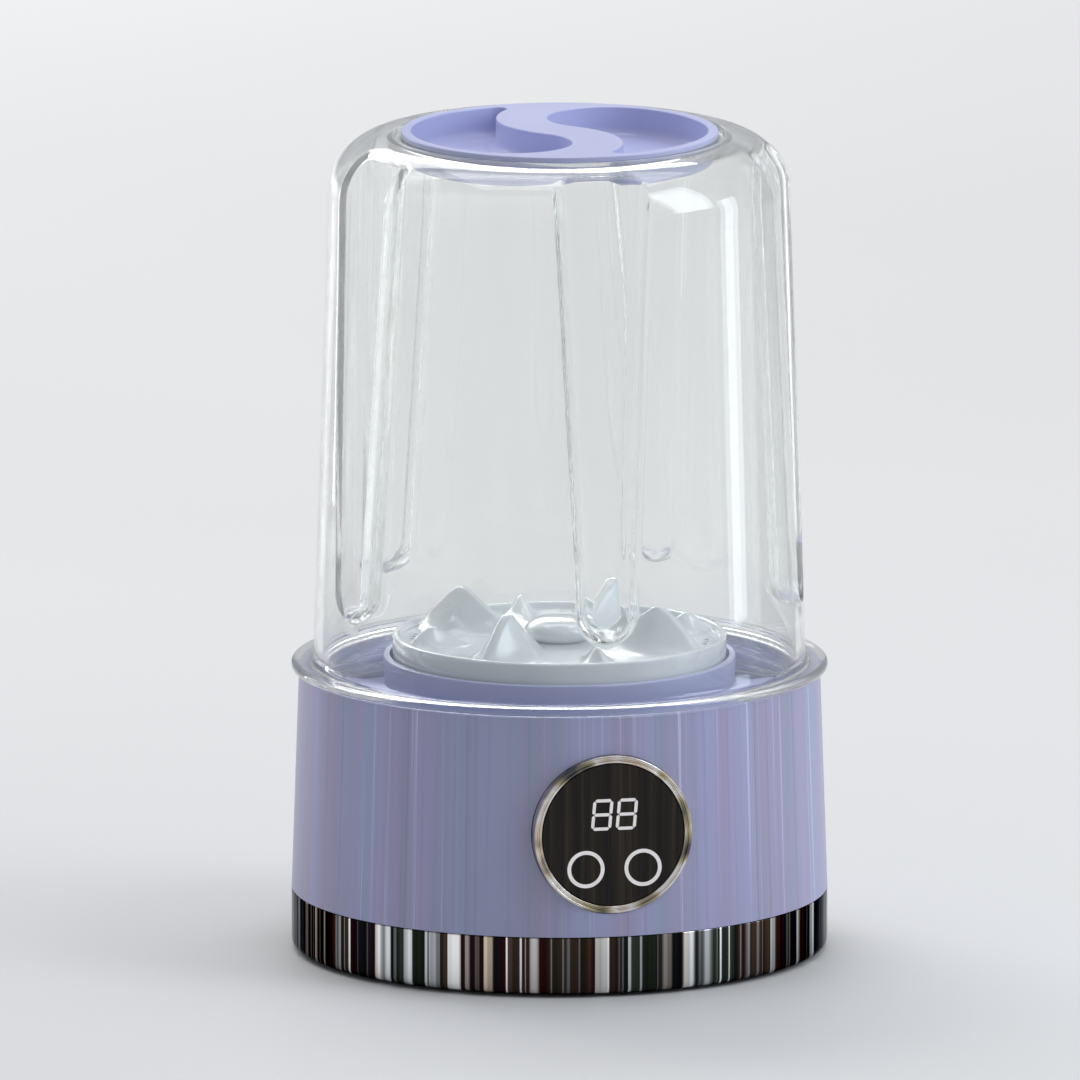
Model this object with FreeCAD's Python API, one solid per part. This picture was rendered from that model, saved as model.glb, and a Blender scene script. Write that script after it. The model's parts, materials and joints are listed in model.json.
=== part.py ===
import FreeCAD, Part
import math
import os
from FreeCAD import Vector

# Portable mini washer. Millimetres, +Z up. The origin is on the surface that it
# stands on, on the axis of the tub. The display faces -Y and the charge socket +Y.

# ---- overall sizes ----
BASE_RADIUS = 83.9            # chrome band and foot of the shell
SHELL_TAPER = 2.4             # how much the shell narrows up to its top
SHELL_TOP = 88.4
BAND_TOP = 19.2
FOOT_HEIGHT = 1.0             # how far the pads stand out of the cover
TUB_TOP = 258.0               # flat top of the clear tub
TUB_DRAFT = 1.9               # degrees, the tub narrows upwards
FLANGE_OVERHANG = 0.1         # flange of the tub past the foot of the shell
SHELL_TOP_RADIUS = BASE_RADIUS - SHELL_TAPER
FLANGE_RADIUS = BASE_RADIUS + FLANGE_OVERHANG

# ---- shell, band and bottom cover ----
SHELL_WALL = 2.5
SHELL_LIP = 2.0               # inward lip on top, which holds the well down
BAND_WALL = 1.5
BAND_ROUND = 3.5
BAND_STEP_GAP = 0.1           # band to the stepped-in foot of the shell
BAND_LIP_REACH = 4.9          # width of the band's inturned lip
COVER_STEP = 1.6
COVER_FLANGE = 2.2
PILLAR_RADIUS = 4.5
PILLAR_INSET = 13.9           # screw pillars, in from the band
PILLAR_ANGLES = (45.0, 135.0, 225.0, 315.0)
SCREW_RADIUS = 1.5
SCREW_HEAD_RADIUS = 3.0
SCREW_HEAD_HEIGHT = 1.8
SCREW_BITE = 12.0
HEAD_SINK = 0.4
PAD_RADIUS = 8.0
PAD_INSET = 21.9              # rubber pads, in from the band
PAD_POCKET = 1.2
PIECE_GAP = 0.1               # between neighbours that are fixed together

# ---- well and pedestal ----
WELL_INSET = 3.9              # threaded wall, in from the top of the shell
WELL_WALL = 1.4
WELL_DEPTH = 12.4             # top of the shell down to the trench floor
WELL_FLOOR_THICK = 2.0
PEDESTAL_MARGIN = 2.8         # pedestal wider than the pulsator
PEDESTAL_WALL = 1.8
PEDESTAL_RISE = 4.9           # pedestal over the top of the shell
PLATE_SINK = 6.3              # plate under the pulsator, below the pedestal's rim
PLATE_THICK = 2.0
BOSS_RADIUS = 9.5
BOSS_SINK = 2.3               # boss of the shaft, below the pedestal's rim
BOSS_LENGTH = 12.0

# ---- screw thread between tub and well ----
THREAD_STARTS = 3
THREAD_PITCH = 4.0            # between neighbouring ridges
THREAD_ROOT = 1.7             # height of a ridge at its root
THREAD_CREST = 0.9            # height of a ridge at its crest
THREAD_BURIED = 0.4           # how deep a ridge is rooted in its wall
THREAD_ROOM = 2.0             # skirt of the tub to the wall of the well
SKIRT_WALL = 2.2
SKIRT_RIDGE = 1.3             # how far a ridge stands out
WELL_RIDGE = 1.3
SKIRT_THREAD_HEIGHT = 4.0     # lowest point of a ridge over the trench floor
SKIRT_THREAD_RISE = 6.4
WELL_THREAD_HEIGHT = 3.4
WELL_THREAD_RISE = 5.0
SEAL_THICK = 2.0
SEAL_GAP = 0.2                # seal to the skirt above and the floor below
SEAL_MARGIN = 0.9             # seal wider than the skirt on each side

# ---- clear tub ----
TUB_WALL = 2.75
TUB_STEP = 1.4                # wall of the tub wider than its skirt
FLANGE_GAP = 0.6              # flange over the top of the shell
FLANGE_THICK = 2.5
SHOULDER_ROUND = 18.0
MOUTH_GAP = 0.5               # cups of the lid to the mouth
SEAT_GAP = 2.0                # rim of the lid to the wall of its seat
SEAT_DEPTH = 1.6
COLLAR_MARGIN = 1.5           # collar wider than the seat
COLLAR_THICK = 2.9            # material under the lid's seat
FLUTE_COUNT = 5
FLUTE_ANGLE = 270.0           # one flute lies over the display
FLUTE_START = 22.0            # flange up to the lowest point of a flute
FLUTE_HALF_WIDTH = 5.4        # at its round lower end
FLUTE_FLARE = 2.8             # degrees, each flank leans out going up
FLUTE_DEPTH = 7.3             # at its lower end
FLUTE_LEAN = 2.4              # degrees, its floor leans in going up
FLUTE_ROUND = 3.0

# ---- lid ----
LID_RADIUS = 49.5
LID_RISE = 1.2                # lid over the top of the tub
LID_PLATE = 1.6
LID_WALL = 1.4
LID_RIM = 3.2                 # edge of the lid to its recesses
RECESS_DEPTH = 9.2
RECESS_ROUND = 3.0
TAIL_ROUND = 3.2              # plan radius of a recess's pointed end
LID_EDGE_ROUND = 0.5
S_BAND_WIDTH = 16.0           # the S-shaped bridge between the recesses
S_AXIS = 44.3                 # degrees, towards the round end of a recess
GASKET_INSET = 0.4            # gasket, in from the edge of the lid
GASKET_GAP = 0.1

# ---- pulsator ----
PULSATOR_RADIUS = 52.2
PULSATOR_SINK = 1.3           # foot of its rim, below the pedestal's rim
PULSATOR_LIFT = 4.2           # its floor over the pedestal's rim
PULSATOR_RIM_RISE = 2.2       # its rim over its floor
PULSATOR_RIM_WIDTH = 1.8
PULSATOR_WALL = 2.2
PULSATOR_HUB_RADIUS = 8.0
PULSATOR_HUB_GAP = 0.3        # hub to the boss of the well
FIN_COUNT = 4
TALL_FIN_ANGLE = 50.5
FIN_INSET = 2.2               # outer end of a fin, in from the edge
TALL_FIN_INNER = 14.0
TALL_FIN_PEAK = 35.0
TALL_FIN_HEIGHT = 14.0
TALL_FIN_BASE = 8.4
TALL_FIN_RIDGE = 2.8
LOW_FIN_ANGLE = 5.5
LOW_FIN_INNER = 29.0
LOW_FIN_PEAK = 42.0
LOW_FIN_HEIGHT = 6.3
LOW_FIN_BASE = 4.6
LOW_FIN_RIDGE = 1.8
DRAIN_RADIUS = 1.0
DRAIN_INSET = 6.2
DRAIN_PITCH = 4.5             # degrees between neighbouring drain holes
CAP_RADIUS = 11.0
CAP_HEIGHT = 7.5
CAP_WAIST = 8.5
CAP_HOLLOW = 4.5

# ---- drive ----
SHAFT_RADIUS = 3.0
SHAFT_FLAT = 2.4              # flats of the shaft, from its axis
SHAFT_STUB = 5.0              # shaft below the gear case
SHAFT_SINK = 0.2              # top of the shaft below the pulsator's floor
RUNNING_FIT = 0.05
BEARING_RADIUS = 6.5
BEARING_WIDTH = 5.0
UPPER_BEARING_LIFT = 1.0      # upper bearing over the foot of the boss
LOWER_BEARING_DROP = 4.0      # lower bearing below the gear case
SEAL_POCKET_RADIUS = 7.0
SEAL_POCKET_DEPTH = 3.5
GEAR_MODULE = 0.8
GEAR_TEETH = 64
PINION_TEETH = 16
GEAR_WIDTH = 6.0
GEAR_LIFT = 3.6               # gear over the underside of the case
GEAR_BACKLASH = 0.16
PRESSURE_ANGLE = 20.0
CASE_WALL = 2.0
CASE_GAP = 1.7                # gear tips to the wall of the case
CASE_DROP = 10.0              # top of the case below the plate
CASE_HEIGHT = 11.0
CASE_EAR_RADIUS = 5.0
CASE_EAR_CIRCLE = 33.5
CASE_EAR_THICK = 4.0
CASE_EAR_ANGLES = (50.0, 130.0, 230.0, 310.0)
MOTOR_RADIUS = 14.0
MOTOR_LENGTH = 38.0
MOTOR_WALL = 1.2
MOTOR_NOSE_RADIUS = 4.0
MOTOR_SHAFT_RADIUS = 1.15
MOTOR_CAP = 2.5
MAGNET_THICK = 1.8
ROTOR_GAP = 0.6
MOTOR_SCREW_SPREAD = 6.5

# ---- display ----
DISPLAY_HEIGHT = 51.5
BEZEL_RADIUS = 25.0
BEZEL_WIDTH = 2.6
BEZEL_DEPTH = 8.4
BEZEL_ROUND = 0.9
LENS_SINK = 0.4
LENS_THICK = 1.5
INLAY_DEPTH = 0.5
DIGIT_WIDTH = 6.4
DIGIT_HEIGHT = 9.9
DIGIT_STROKE = 1.0
DIGIT_SLANT = 5.0             # degrees
DIGIT_PITCH = 7.8
DIGIT_OFFSET_X = 0.4
DIGIT_OFFSET_Z = 6.4
SEGMENT_GAP = 0.12
KEY_RADIUS = 5.9
KEY_STROKE = 1.2
KEY_SPREAD = 9.05
KEY_DROP = 10.7
COLLAR_WALL = 2.5
COLLAR_REACH = 9.9            # front of the display back to the housing's seat
LUG_RADIUS = 3.2
LUG_MARGIN = 5.0              # screw lugs out from the edge of the bezel
LUG_LENGTH = 3.5
LUG_BITE = 2.5                # how deep a screw goes into a lug
HOUSING_FLANGE = 2.0
HOUSING_WALL = 2.0
LUG_ANGLES = (20.0, 160.0, 230.0, 310.0)
WELL_CLEARANCE = 0.2          # display pieces to the well that passes over them
BOARD_THICK = 1.6
LED_THICK = 1.5

# ---- battery, boards and charge socket ----
CELL_RADIUS = 9.2
CELL_LENGTH = 65.2
CELL_PITCH = 20.0
CELL_ROW_Y = -12.0            # middle of the two cells
TRAY_WALL = 1.5
TRAY_HEIGHT = 13.0
CONTACT_SPACE = 1.4           # room for the strip at each end of the cells
CONTACT_THICK = 0.4
MAIN_BOARD_X = (-34.0, 30.0)
MAIN_BOARD_Y = (16.0, 56.0)
MAIN_BOARD_Z = 11.0
POST_RADIUS = 3.0
POST_INSET = 4.0
SMALL_SCREW_RADIUS = 1.1
SMALL_HEAD_RADIUS = 2.2
SMALL_HEAD_HEIGHT = 1.3
SMALL_BITE = 5.0
TERMINAL_SPOTS = ((-30.0, 36.0), (-12.0, 42.0), (20.0, 40.0))
TERMINAL_SIZE = (9.0, 6.0, 7.0)
PORT_HEIGHT = 30.0            # middle of the charge socket
PORT_INSET = 1.8              # front of the socket, in from the band
PORT_WIDTH = 8.94
PORT_THICK = 3.2
PORT_DEPTH = 7.3
PORT_GAP = 0.2
PORT_RECESS_WIDTH = 13.6
PORT_RECESS_HEIGHT = 7.6
PORT_RECESS_INSET = 1.6
CHARGE_BOARD_WIDTH = 18.0
CHARGE_BOARD_LENGTH = 17.0
CHARGE_BOARD_THICK = 1.2
LEAD_RADIUS = 0.9
LEAD_SPACING = 3.6
CABLE_RADIUS = 1.3

# ---- worked out ----
PILLAR_CIRCLE = BASE_RADIUS - PILLAR_INSET
PAD_CIRCLE = BASE_RADIUS - PAD_INSET
WELL_RADIUS = SHELL_TOP_RADIUS - WELL_INSET
WELL_FLOOR = SHELL_TOP - WELL_DEPTH
PEDESTAL_RADIUS = PULSATOR_RADIUS + PEDESTAL_MARGIN
PEDESTAL_TOP = SHELL_TOP + PEDESTAL_RISE
PLATE_TOP = PEDESTAL_TOP - PLATE_SINK
BOSS_TOP = PEDESTAL_TOP - BOSS_SINK
BOSS_BOTTOM = BOSS_TOP - BOSS_LENGTH
SKIRT_RADIUS = WELL_RADIUS - THREAD_ROOM
SKIRT_THREAD_LOW = WELL_FLOOR + SKIRT_THREAD_HEIGHT
WELL_THREAD_LOW = WELL_FLOOR + WELL_THREAD_HEIGHT
TUB_FOOT_RADIUS = SKIRT_RADIUS + TUB_STEP
FLANGE_BOTTOM = SHELL_TOP + FLANGE_GAP
LID_TOP = TUB_TOP + LID_RISE
RECESS_RADIUS = LID_RADIUS - LID_RIM
MOUTH_RADIUS = RECESS_RADIUS + LID_WALL + MOUTH_GAP
SEAT_RADIUS = LID_RADIUS + SEAT_GAP
COLLAR_RADIUS = SEAT_RADIUS + COLLAR_MARGIN
GASKET_RADIUS = LID_RADIUS - GASKET_INSET
PULSATOR_BOTTOM = PEDESTAL_TOP - PULSATOR_SINK
PULSATOR_FLOOR = PEDESTAL_TOP + PULSATOR_LIFT
PULSATOR_RIM_TOP = PULSATOR_FLOOR + PULSATOR_RIM_RISE
FIN_OUTER = PULSATOR_RADIUS - FIN_INSET
TALL_FIN_TOP = PULSATOR_FLOOR + TALL_FIN_HEIGHT
LOW_FIN_TOP = PULSATOR_FLOOR + LOW_FIN_HEIGHT
DRAIN_CIRCLE = PULSATOR_RADIUS - DRAIN_INSET
CAP_TOP = PULSATOR_FLOOR + CAP_HEIGHT
CASE_TOP = PLATE_TOP - CASE_DROP
CASE_FLOOR = CASE_TOP - CASE_HEIGHT     # underside of the case, and top of the motor
GEAR_LOW = CASE_FLOOR + GEAR_LIFT
SHAFT_BOTTOM = CASE_FLOOR - SHAFT_STUB
SHAFT_TOP = PULSATOR_FLOOR - SHAFT_SINK
UPPER_BEARING_LOW = BOSS_BOTTOM + UPPER_BEARING_LIFT
LOWER_BEARING_LOW = CASE_FLOOR - LOWER_BEARING_DROP
DISPLAY_FRONT = BASE_RADIUS             # front of the bezel, from the axis
COLLAR_BACK = DISPLAY_FRONT - COLLAR_REACH
LUG_CIRCLE = BEZEL_RADIUS + LUG_MARGIN
PORT_FRONT = BASE_RADIUS - PORT_INSET
PORT_RECESS_FLOOR = BASE_RADIUS - PORT_RECESS_INSET
COVER_BOTTOM = FOOT_HEIGHT
COVER_LEDGE = COVER_BOTTOM + COVER_STEP
COVER_TOP = COVER_LEDGE + COVER_FLANGE
SHELL_BOTTOM = COVER_TOP + PIECE_GAP
SHELL_FOOT_RADIUS = BASE_RADIUS - BAND_WALL - BAND_STEP_GAP
BAND_LIP_RADIUS = BASE_RADIUS - BAND_LIP_REACH
WELL_TOP = SHELL_TOP - SHELL_LIP - PIECE_GAP
WELL_OUTER = WELL_RADIUS + WELL_WALL
FLANGE_TOP = FLANGE_BOTTOM + FLANGE_THICK
FLUTE_LOW = FLANGE_TOP + FLUTE_START
SKIRT_BOTTOM = WELL_FLOOR + SEAL_THICK + 2 * SEAL_GAP
SKIRT_INNER = SKIRT_RADIUS - SKIRT_WALL
THREAD_LEAD = THREAD_STARTS * THREAD_PITCH
SEAT_HEIGHT = TUB_TOP - SEAT_DEPTH
LID_PLATE_BOTTOM = LID_TOP - LID_PLATE
CUP_BOTTOM = LID_TOP - RECESS_DEPTH - LID_WALL
S_RADIUS = (RECESS_RADIUS + S_BAND_WIDTH / 2) / 2
GEAR_PITCH_RADIUS = GEAR_MODULE * GEAR_TEETH / 2
PINION_PITCH_RADIUS = GEAR_MODULE * PINION_TEETH / 2
MOTOR_X = GEAR_PITCH_RADIUS + PINION_PITCH_RADIUS
MOTOR_BOTTOM = CASE_FLOOR - MOTOR_LENGTH
CASE_INNER = GEAR_PITCH_RADIUS + GEAR_MODULE + CASE_GAP
LENS_FRONT = DISPLAY_FRONT - LENS_SINK
LENS_RADIUS = BEZEL_RADIUS - BEZEL_WIDTH
COVER_POST_TOP = MAIN_BOARD_Z
TERMINAL_TOP = MAIN_BOARD_Z + BOARD_THICK + TERMINAL_SIZE[2]

UP = Vector(0, 0, 1)
CENTRE = Vector(0, 0, 0)


# ---- drawing helpers ----
def polar(radius, degrees, height=0.0):
    """A point at this radius and angle about the Z axis."""
    turn = math.radians(degrees)
    return Vector(radius * math.cos(turn), radius * math.sin(turn), height)


def cylinder(radius, low, high, x=0.0, y=0.0):
    """An upright cylinder from low to high."""
    return Part.makeCylinder(radius, high - low, Vector(x, y, low))


def tube(outer, inner, low, high, x=0.0, y=0.0):
    """An upright ring."""
    return cylinder(outer, low, high, x, y).cut(cylinder(inner, low, high, x, y))


def block(x, y, z):
    """A box from its (low, high) pairs."""
    size = [pair[1] - pair[0] for pair in (x, y, z)]
    return Part.makeBox(*size, Vector(x[0], y[0], z[0]))


def revolve(*points):
    """A solid of revolution about Z from the (radius, height) corners of its outline."""
    wire = Part.makePolygon([Vector(r, 0, z) for r, z in points + points[:1]])
    return Part.Face(wire).revolve(CENTRE, UP, 360)


def fuse(first, *others):
    """One solid from several that meet."""
    return first.fuse(list(others)).removeSplitter()


def turned(shape, degrees):
    """A copy turned about the Z axis."""
    copy = shape.copy()
    copy.rotate(CENTRE, UP, degrees)
    return copy


def around(shape, angles):
    """Copies turned about Z to each angle."""
    return [turned(shape, angle) for angle in angles]


def evenly(count, start=0.0):
    """Angles that share a turn evenly."""
    return [start + 360.0 * k / count for k in range(count)]


def circles(solid, radius, height):
    """The upright circular edges of this radius at this height."""
    return [
        edge for edge in solid.Edges
        if isinstance(edge.Curve, Part.Circle)
        and abs(edge.Curve.Radius - radius) < 0.02
        and abs(edge.Curve.Center.z - height) < 0.02
    ]


def forward(radius, front, back, x=0.0, z=0.0):
    """A cylinder lying along Y; front and back are distances from the axis towards -Y."""
    return Part.makeCylinder(radius, front - back, Vector(x, -front, z), Vector(0, 1, 0))


def shell_radius(height):
    """Outside radius of the shell, which narrows evenly above the band."""
    share = (height - BAND_TOP) / (SHELL_TOP - BAND_TOP)
    return BASE_RADIUS + (SHELL_TOP_RADIUS - BASE_RADIUS) * share


def tub_radius(height):
    """Outside radius of the tub's wall below the shoulder."""
    return TUB_FOOT_RADIUS - (height - FLANGE_TOP) * math.tan(math.radians(TUB_DRAFT))


def screw(radius, head_radius, head_height, length):
    """A pan-head screw pointing up, its head's top face at the origin plane."""
    head = cylinder(head_radius, -head_height, 0.0)
    drive = cylinder(head_radius * 0.45, -head_height, -head_height * 0.45)
    return fuse(head.cut(drive), cylinder(radius, 0.0, length))


def helical_ridges(wall_radius, stand_out, low, rise, start):
    """The thread's ridges on a wall; stand_out is negative for ridges that point inwards."""
    side = 1 if stand_out > 0 else -1
    root = wall_radius - side * THREAD_BURIED
    crest = wall_radius + stand_out
    corners = [
        Vector(root, 0, -THREAD_ROOT / 2),
        Vector(crest, 0, -THREAD_CREST / 2),
        Vector(crest, 0, THREAD_CREST / 2),
        Vector(root, 0, THREAD_ROOT / 2),
    ]
    section = Part.makePolygon(corners + corners[:1])
    path = Part.Wire(Part.makeHelix(THREAD_LEAD, rise, wall_radius))
    ridge = path.makePipeShell([section], True, True)
    ridge.translate(Vector(0, 0, low))
    return around(ridge, evenly(THREAD_STARTS, start))


# ---- base housing ----
def base_shell():
    """Lavender sleeve: stepped in behind the band, with an inward lip on top."""
    body = revolve(
        (SHELL_FOOT_RADIUS - SHELL_WALL, SHELL_BOTTOM),
        (SHELL_FOOT_RADIUS, SHELL_BOTTOM),
        (SHELL_FOOT_RADIUS, BAND_TOP + PIECE_GAP),
        (shell_radius(BAND_TOP + PIECE_GAP), BAND_TOP + PIECE_GAP),
        (SHELL_TOP_RADIUS, SHELL_TOP),
        (WELL_RADIUS + PIECE_GAP, SHELL_TOP),
        (WELL_RADIUS + PIECE_GAP, SHELL_TOP - SHELL_LIP),
        (WELL_OUTER + PIECE_GAP, SHELL_TOP - SHELL_LIP),
        (WELL_OUTER + PIECE_GAP, WELL_FLOOR - 2 * WELL_FLOOR_THICK),
    )
    body = body.makeFillet(0.6, circles(body, SHELL_TOP_RADIUS, SHELL_TOP))
    hole = forward(BEZEL_RADIUS + PIECE_GAP, BASE_RADIUS + 5, COLLAR_BACK - 5, 0, DISPLAY_HEIGHT)
    collar = forward(BEZEL_RADIUS + COLLAR_WALL, BASE_RADIUS, COLLAR_BACK, 0, DISPLAY_HEIGHT)
    inside = cylinder(shell_radius(DISPLAY_HEIGHT) - SHELL_WALL / 2, 0, SHELL_TOP)
    collar = collar.common(inside).cut(well_space())
    lugs = [
        forward(LUG_RADIUS, COLLAR_BACK + LUG_LENGTH, COLLAR_BACK, x, z).common(inside)
        for x, z in display_lug_spots()
    ]
    body = fuse(body, collar, *lugs).cut(hole)
    for x, z in display_lug_spots():
        body = body.cut(forward(SMALL_SCREW_RADIUS, COLLAR_BACK + LUG_BITE,
                                COLLAR_BACK - HOUSING_FLANGE, x, z))
    return body.cut(port_recess()).cut(port_slot())


def port_recess():
    """Shallow pocket outside, in which a plug's body sits."""
    return port_shape(PORT_RECESS_WIDTH, PORT_RECESS_HEIGHT, PORT_RECESS_FLOOR, BASE_RADIUS + 5)


def port_slot():
    """Opening through the wall for the mouth of the socket."""
    width = PORT_WIDTH + 2 * PORT_GAP
    height = PORT_THICK + 2 * PORT_GAP
    return port_shape(width, height, PORT_FRONT - PORT_DEPTH, BASE_RADIUS + 5)


def port_shape(width, height, near, far):
    """A slot with round ends, lying along +Y."""
    radius = height / 2
    reach = width / 2 - radius
    ends = [
        Part.makeCylinder(radius, far - near, Vector(x, near, PORT_HEIGHT), Vector(0, 1, 0))
        for x in (-reach, reach)
    ]
    middle = block((-reach, reach), (near, far), (PORT_HEIGHT - radius, PORT_HEIGHT + radius))
    return fuse(middle, *ends)


def chrome_band():
    """Polished band whose lower edge turns in under the base."""
    bend = BAND_ROUND * (1 - math.sqrt(0.5))
    inner_round = BAND_ROUND - BAND_WALL
    inner_bend = inner_round * (1 - math.sqrt(0.5))
    inner = BASE_RADIUS - BAND_WALL
    low = COVER_BOTTOM
    lip_top = low + BAND_WALL

    def line(a, b):
        return Part.LineSegment(Vector(a[0], 0, a[1]), Vector(b[0], 0, b[1])).toShape()

    def arc(a, b, c):
        return Part.Arc(*[Vector(p[0], 0, p[1]) for p in (a, b, c)]).toShape()

    edges = [
        line((BAND_LIP_RADIUS, low), (BASE_RADIUS - BAND_ROUND, low)),
        arc((BASE_RADIUS - BAND_ROUND, low), (BASE_RADIUS - bend, low + bend),
            (BASE_RADIUS, low + BAND_ROUND)),
        line((BASE_RADIUS, low + BAND_ROUND), (BASE_RADIUS, BAND_TOP)),
        line((BASE_RADIUS, BAND_TOP), (inner, BAND_TOP)),
        line((inner, BAND_TOP), (inner, lip_top + inner_round)),
        arc((inner, lip_top + inner_round), (inner - inner_bend, lip_top + inner_bend),
            (inner - inner_round, lip_top)),
        line((inner - inner_round, lip_top), (BAND_LIP_RADIUS, lip_top)),
        line((BAND_LIP_RADIUS, lip_top), (BAND_LIP_RADIUS, low)),
    ]
    return Part.Face(Part.Wire(edges)).revolve(CENTRE, UP, 360)


def bottom_cover():
    """Cover that closes the base, with pad pockets, screw holes and board posts."""
    body = fuse(
        cylinder(BAND_LIP_RADIUS - PIECE_GAP, COVER_BOTTOM, COVER_LEDGE),
        cylinder(BASE_RADIUS - BAND_ROUND, COVER_LEDGE, COVER_TOP),
    )
    for spot in board_post_spots():
        body = fuse(body, cylinder(POST_RADIUS, COVER_TOP, COVER_POST_TOP, *spot))
        body = body.cut(cylinder(SMALL_SCREW_RADIUS, COVER_POST_TOP - SMALL_BITE,
                                 COVER_POST_TOP, *spot))
    for spot in charge_post_spots():
        top = charge_board_bottom()
        body = fuse(body, cylinder(POST_RADIUS, COVER_TOP, top, *spot))
        body = body.cut(cylinder(SMALL_SCREW_RADIUS, top - SMALL_BITE, top, *spot))
    for angle in PILLAR_ANGLES:
        spot = polar(PILLAR_CIRCLE, angle)
        head = cylinder(SCREW_HEAD_RADIUS + PIECE_GAP, COVER_BOTTOM, bottom_screw_seat(),
                        spot.x, spot.y)
        body = body.cut(head)
        body = body.cut(cylinder(SCREW_RADIUS, COVER_BOTTOM, COVER_TOP, spot.x, spot.y))
    for angle in evenly(4):
        spot = polar(PAD_CIRCLE, angle)
        body = body.cut(cylinder(PAD_RADIUS + PIECE_GAP, COVER_BOTTOM,
                                 COVER_BOTTOM + PAD_POCKET, spot.x, spot.y))
    return body


def rubber_feet():
    """Four pads glued into the pockets of the cover."""
    pad = cylinder(PAD_RADIUS, 0.0, COVER_BOTTOM + PAD_POCKET, PAD_CIRCLE, 0.0)
    return Part.makeCompound(around(pad, evenly(4)))


def bottom_screw_seat():
    """Height of the face that the heads of the bottom screws press on."""
    return COVER_BOTTOM + HEAD_SINK + SCREW_HEAD_HEIGHT


def bottom_screws():
    """Four screws through the cover into the pillars of the well."""
    length = COVER_TOP + PIECE_GAP - bottom_screw_seat() + SCREW_BITE
    one = screw(SCREW_RADIUS, SCREW_HEAD_RADIUS, SCREW_HEAD_HEIGHT, length)
    one.translate(Vector(PILLAR_CIRCLE, 0, bottom_screw_seat()))
    return Part.makeCompound(around(one, PILLAR_ANGLES))


# ---- well ----
def wash_well():
    """Threaded socket, trench floor, pedestal cup, shaft boss and screw pillars."""
    underside = WELL_FLOOR - WELL_FLOOR_THICK
    inside = PEDESTAL_RADIUS - PEDESTAL_WALL
    body = revolve(
        (0, PLATE_TOP - PLATE_THICK),
        (inside, PLATE_TOP - PLATE_THICK),
        (inside, underside),
        (WELL_OUTER, underside),
        (WELL_OUTER, WELL_TOP),
        (WELL_RADIUS, WELL_TOP),
        (WELL_RADIUS, WELL_FLOOR),
        (PEDESTAL_RADIUS, WELL_FLOOR),
        (PEDESTAL_RADIUS, PEDESTAL_TOP),
        (inside, PEDESTAL_TOP),
        (inside, PLATE_TOP),
        (0, PLATE_TOP),
    )
    body = body.makeFillet(0.5, circles(body, PEDESTAL_RADIUS, PEDESTAL_TOP))
    pillar_foot = COVER_TOP + PIECE_GAP
    pillar = cylinder(PILLAR_RADIUS, pillar_foot, underside + 0.5, PILLAR_CIRCLE, 0.0)
    bore = cylinder(SCREW_RADIUS, pillar_foot, pillar_foot + SCREW_BITE, PILLAR_CIRCLE, 0.0)
    ear_boss = cylinder(CASE_EAR_RADIUS - 1, case_cover_top(), PLATE_TOP - 0.5,
                        CASE_EAR_CIRCLE, 0.0)
    ear_bore = cylinder(SCREW_RADIUS, case_cover_top(), PLATE_TOP - PLATE_THICK,
                        CASE_EAR_CIRCLE, 0.0)
    ridges = helical_ridges(WELL_RADIUS, -WELL_RIDGE, WELL_THREAD_LOW, WELL_THREAD_RISE,
                            well_thread_start())
    body = fuse(
        body,
        cylinder(BOSS_RADIUS, BOSS_BOTTOM, BOSS_TOP),
        *around(pillar, PILLAR_ANGLES),
        *around(ear_boss, CASE_EAR_ANGLES),
    )
    for ridge in ridges:
        body = body.fuse(ridge)
    cuts = [
        cylinder(BEARING_RADIUS, BOSS_BOTTOM, UPPER_BEARING_LOW + BEARING_WIDTH),
        cylinder(SHAFT_RADIUS + 0.5, BOSS_BOTTOM, BOSS_TOP),
        cylinder(SEAL_POCKET_RADIUS, BOSS_TOP - SEAL_POCKET_DEPTH, BOSS_TOP),
    ]
    cuts += around(bore, PILLAR_ANGLES) + around(ear_bore, CASE_EAR_ANGLES)
    return body.cut(cuts)


def well_thread_start():
    """Angle at which the well's ridges start, so that they lie midway between the tub's."""
    climb = WELL_THREAD_LOW - SKIRT_THREAD_LOW
    return 360.0 * (climb - THREAD_PITCH / 2) / THREAD_LEAD


def shaft_seal():
    """Rubber lip seal round the drive shaft."""
    return tube(SEAL_POCKET_RADIUS, SHAFT_RADIUS + RUNNING_FIT,
                BOSS_TOP - SEAL_POCKET_DEPTH, BOSS_TOP)


def bearing(low):
    """A shielded ball bearing on the drive shaft."""
    body = tube(BEARING_RADIUS, SHAFT_RADIUS + RUNNING_FIT, low, low + BEARING_WIDTH)
    shield = tube(BEARING_RADIUS - 1.0, SHAFT_RADIUS + 1.0, low + BEARING_WIDTH - 0.3,
                  low + BEARING_WIDTH)
    return body.cut(shield)


def tub_seal():
    """Silicone ring on the floor of the well, under the skirt."""
    low = WELL_FLOOR + SEAL_GAP
    return tube(SKIRT_RADIUS + SEAL_MARGIN, SKIRT_INNER - SEAL_MARGIN, low, low + SEAL_THICK)


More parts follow.
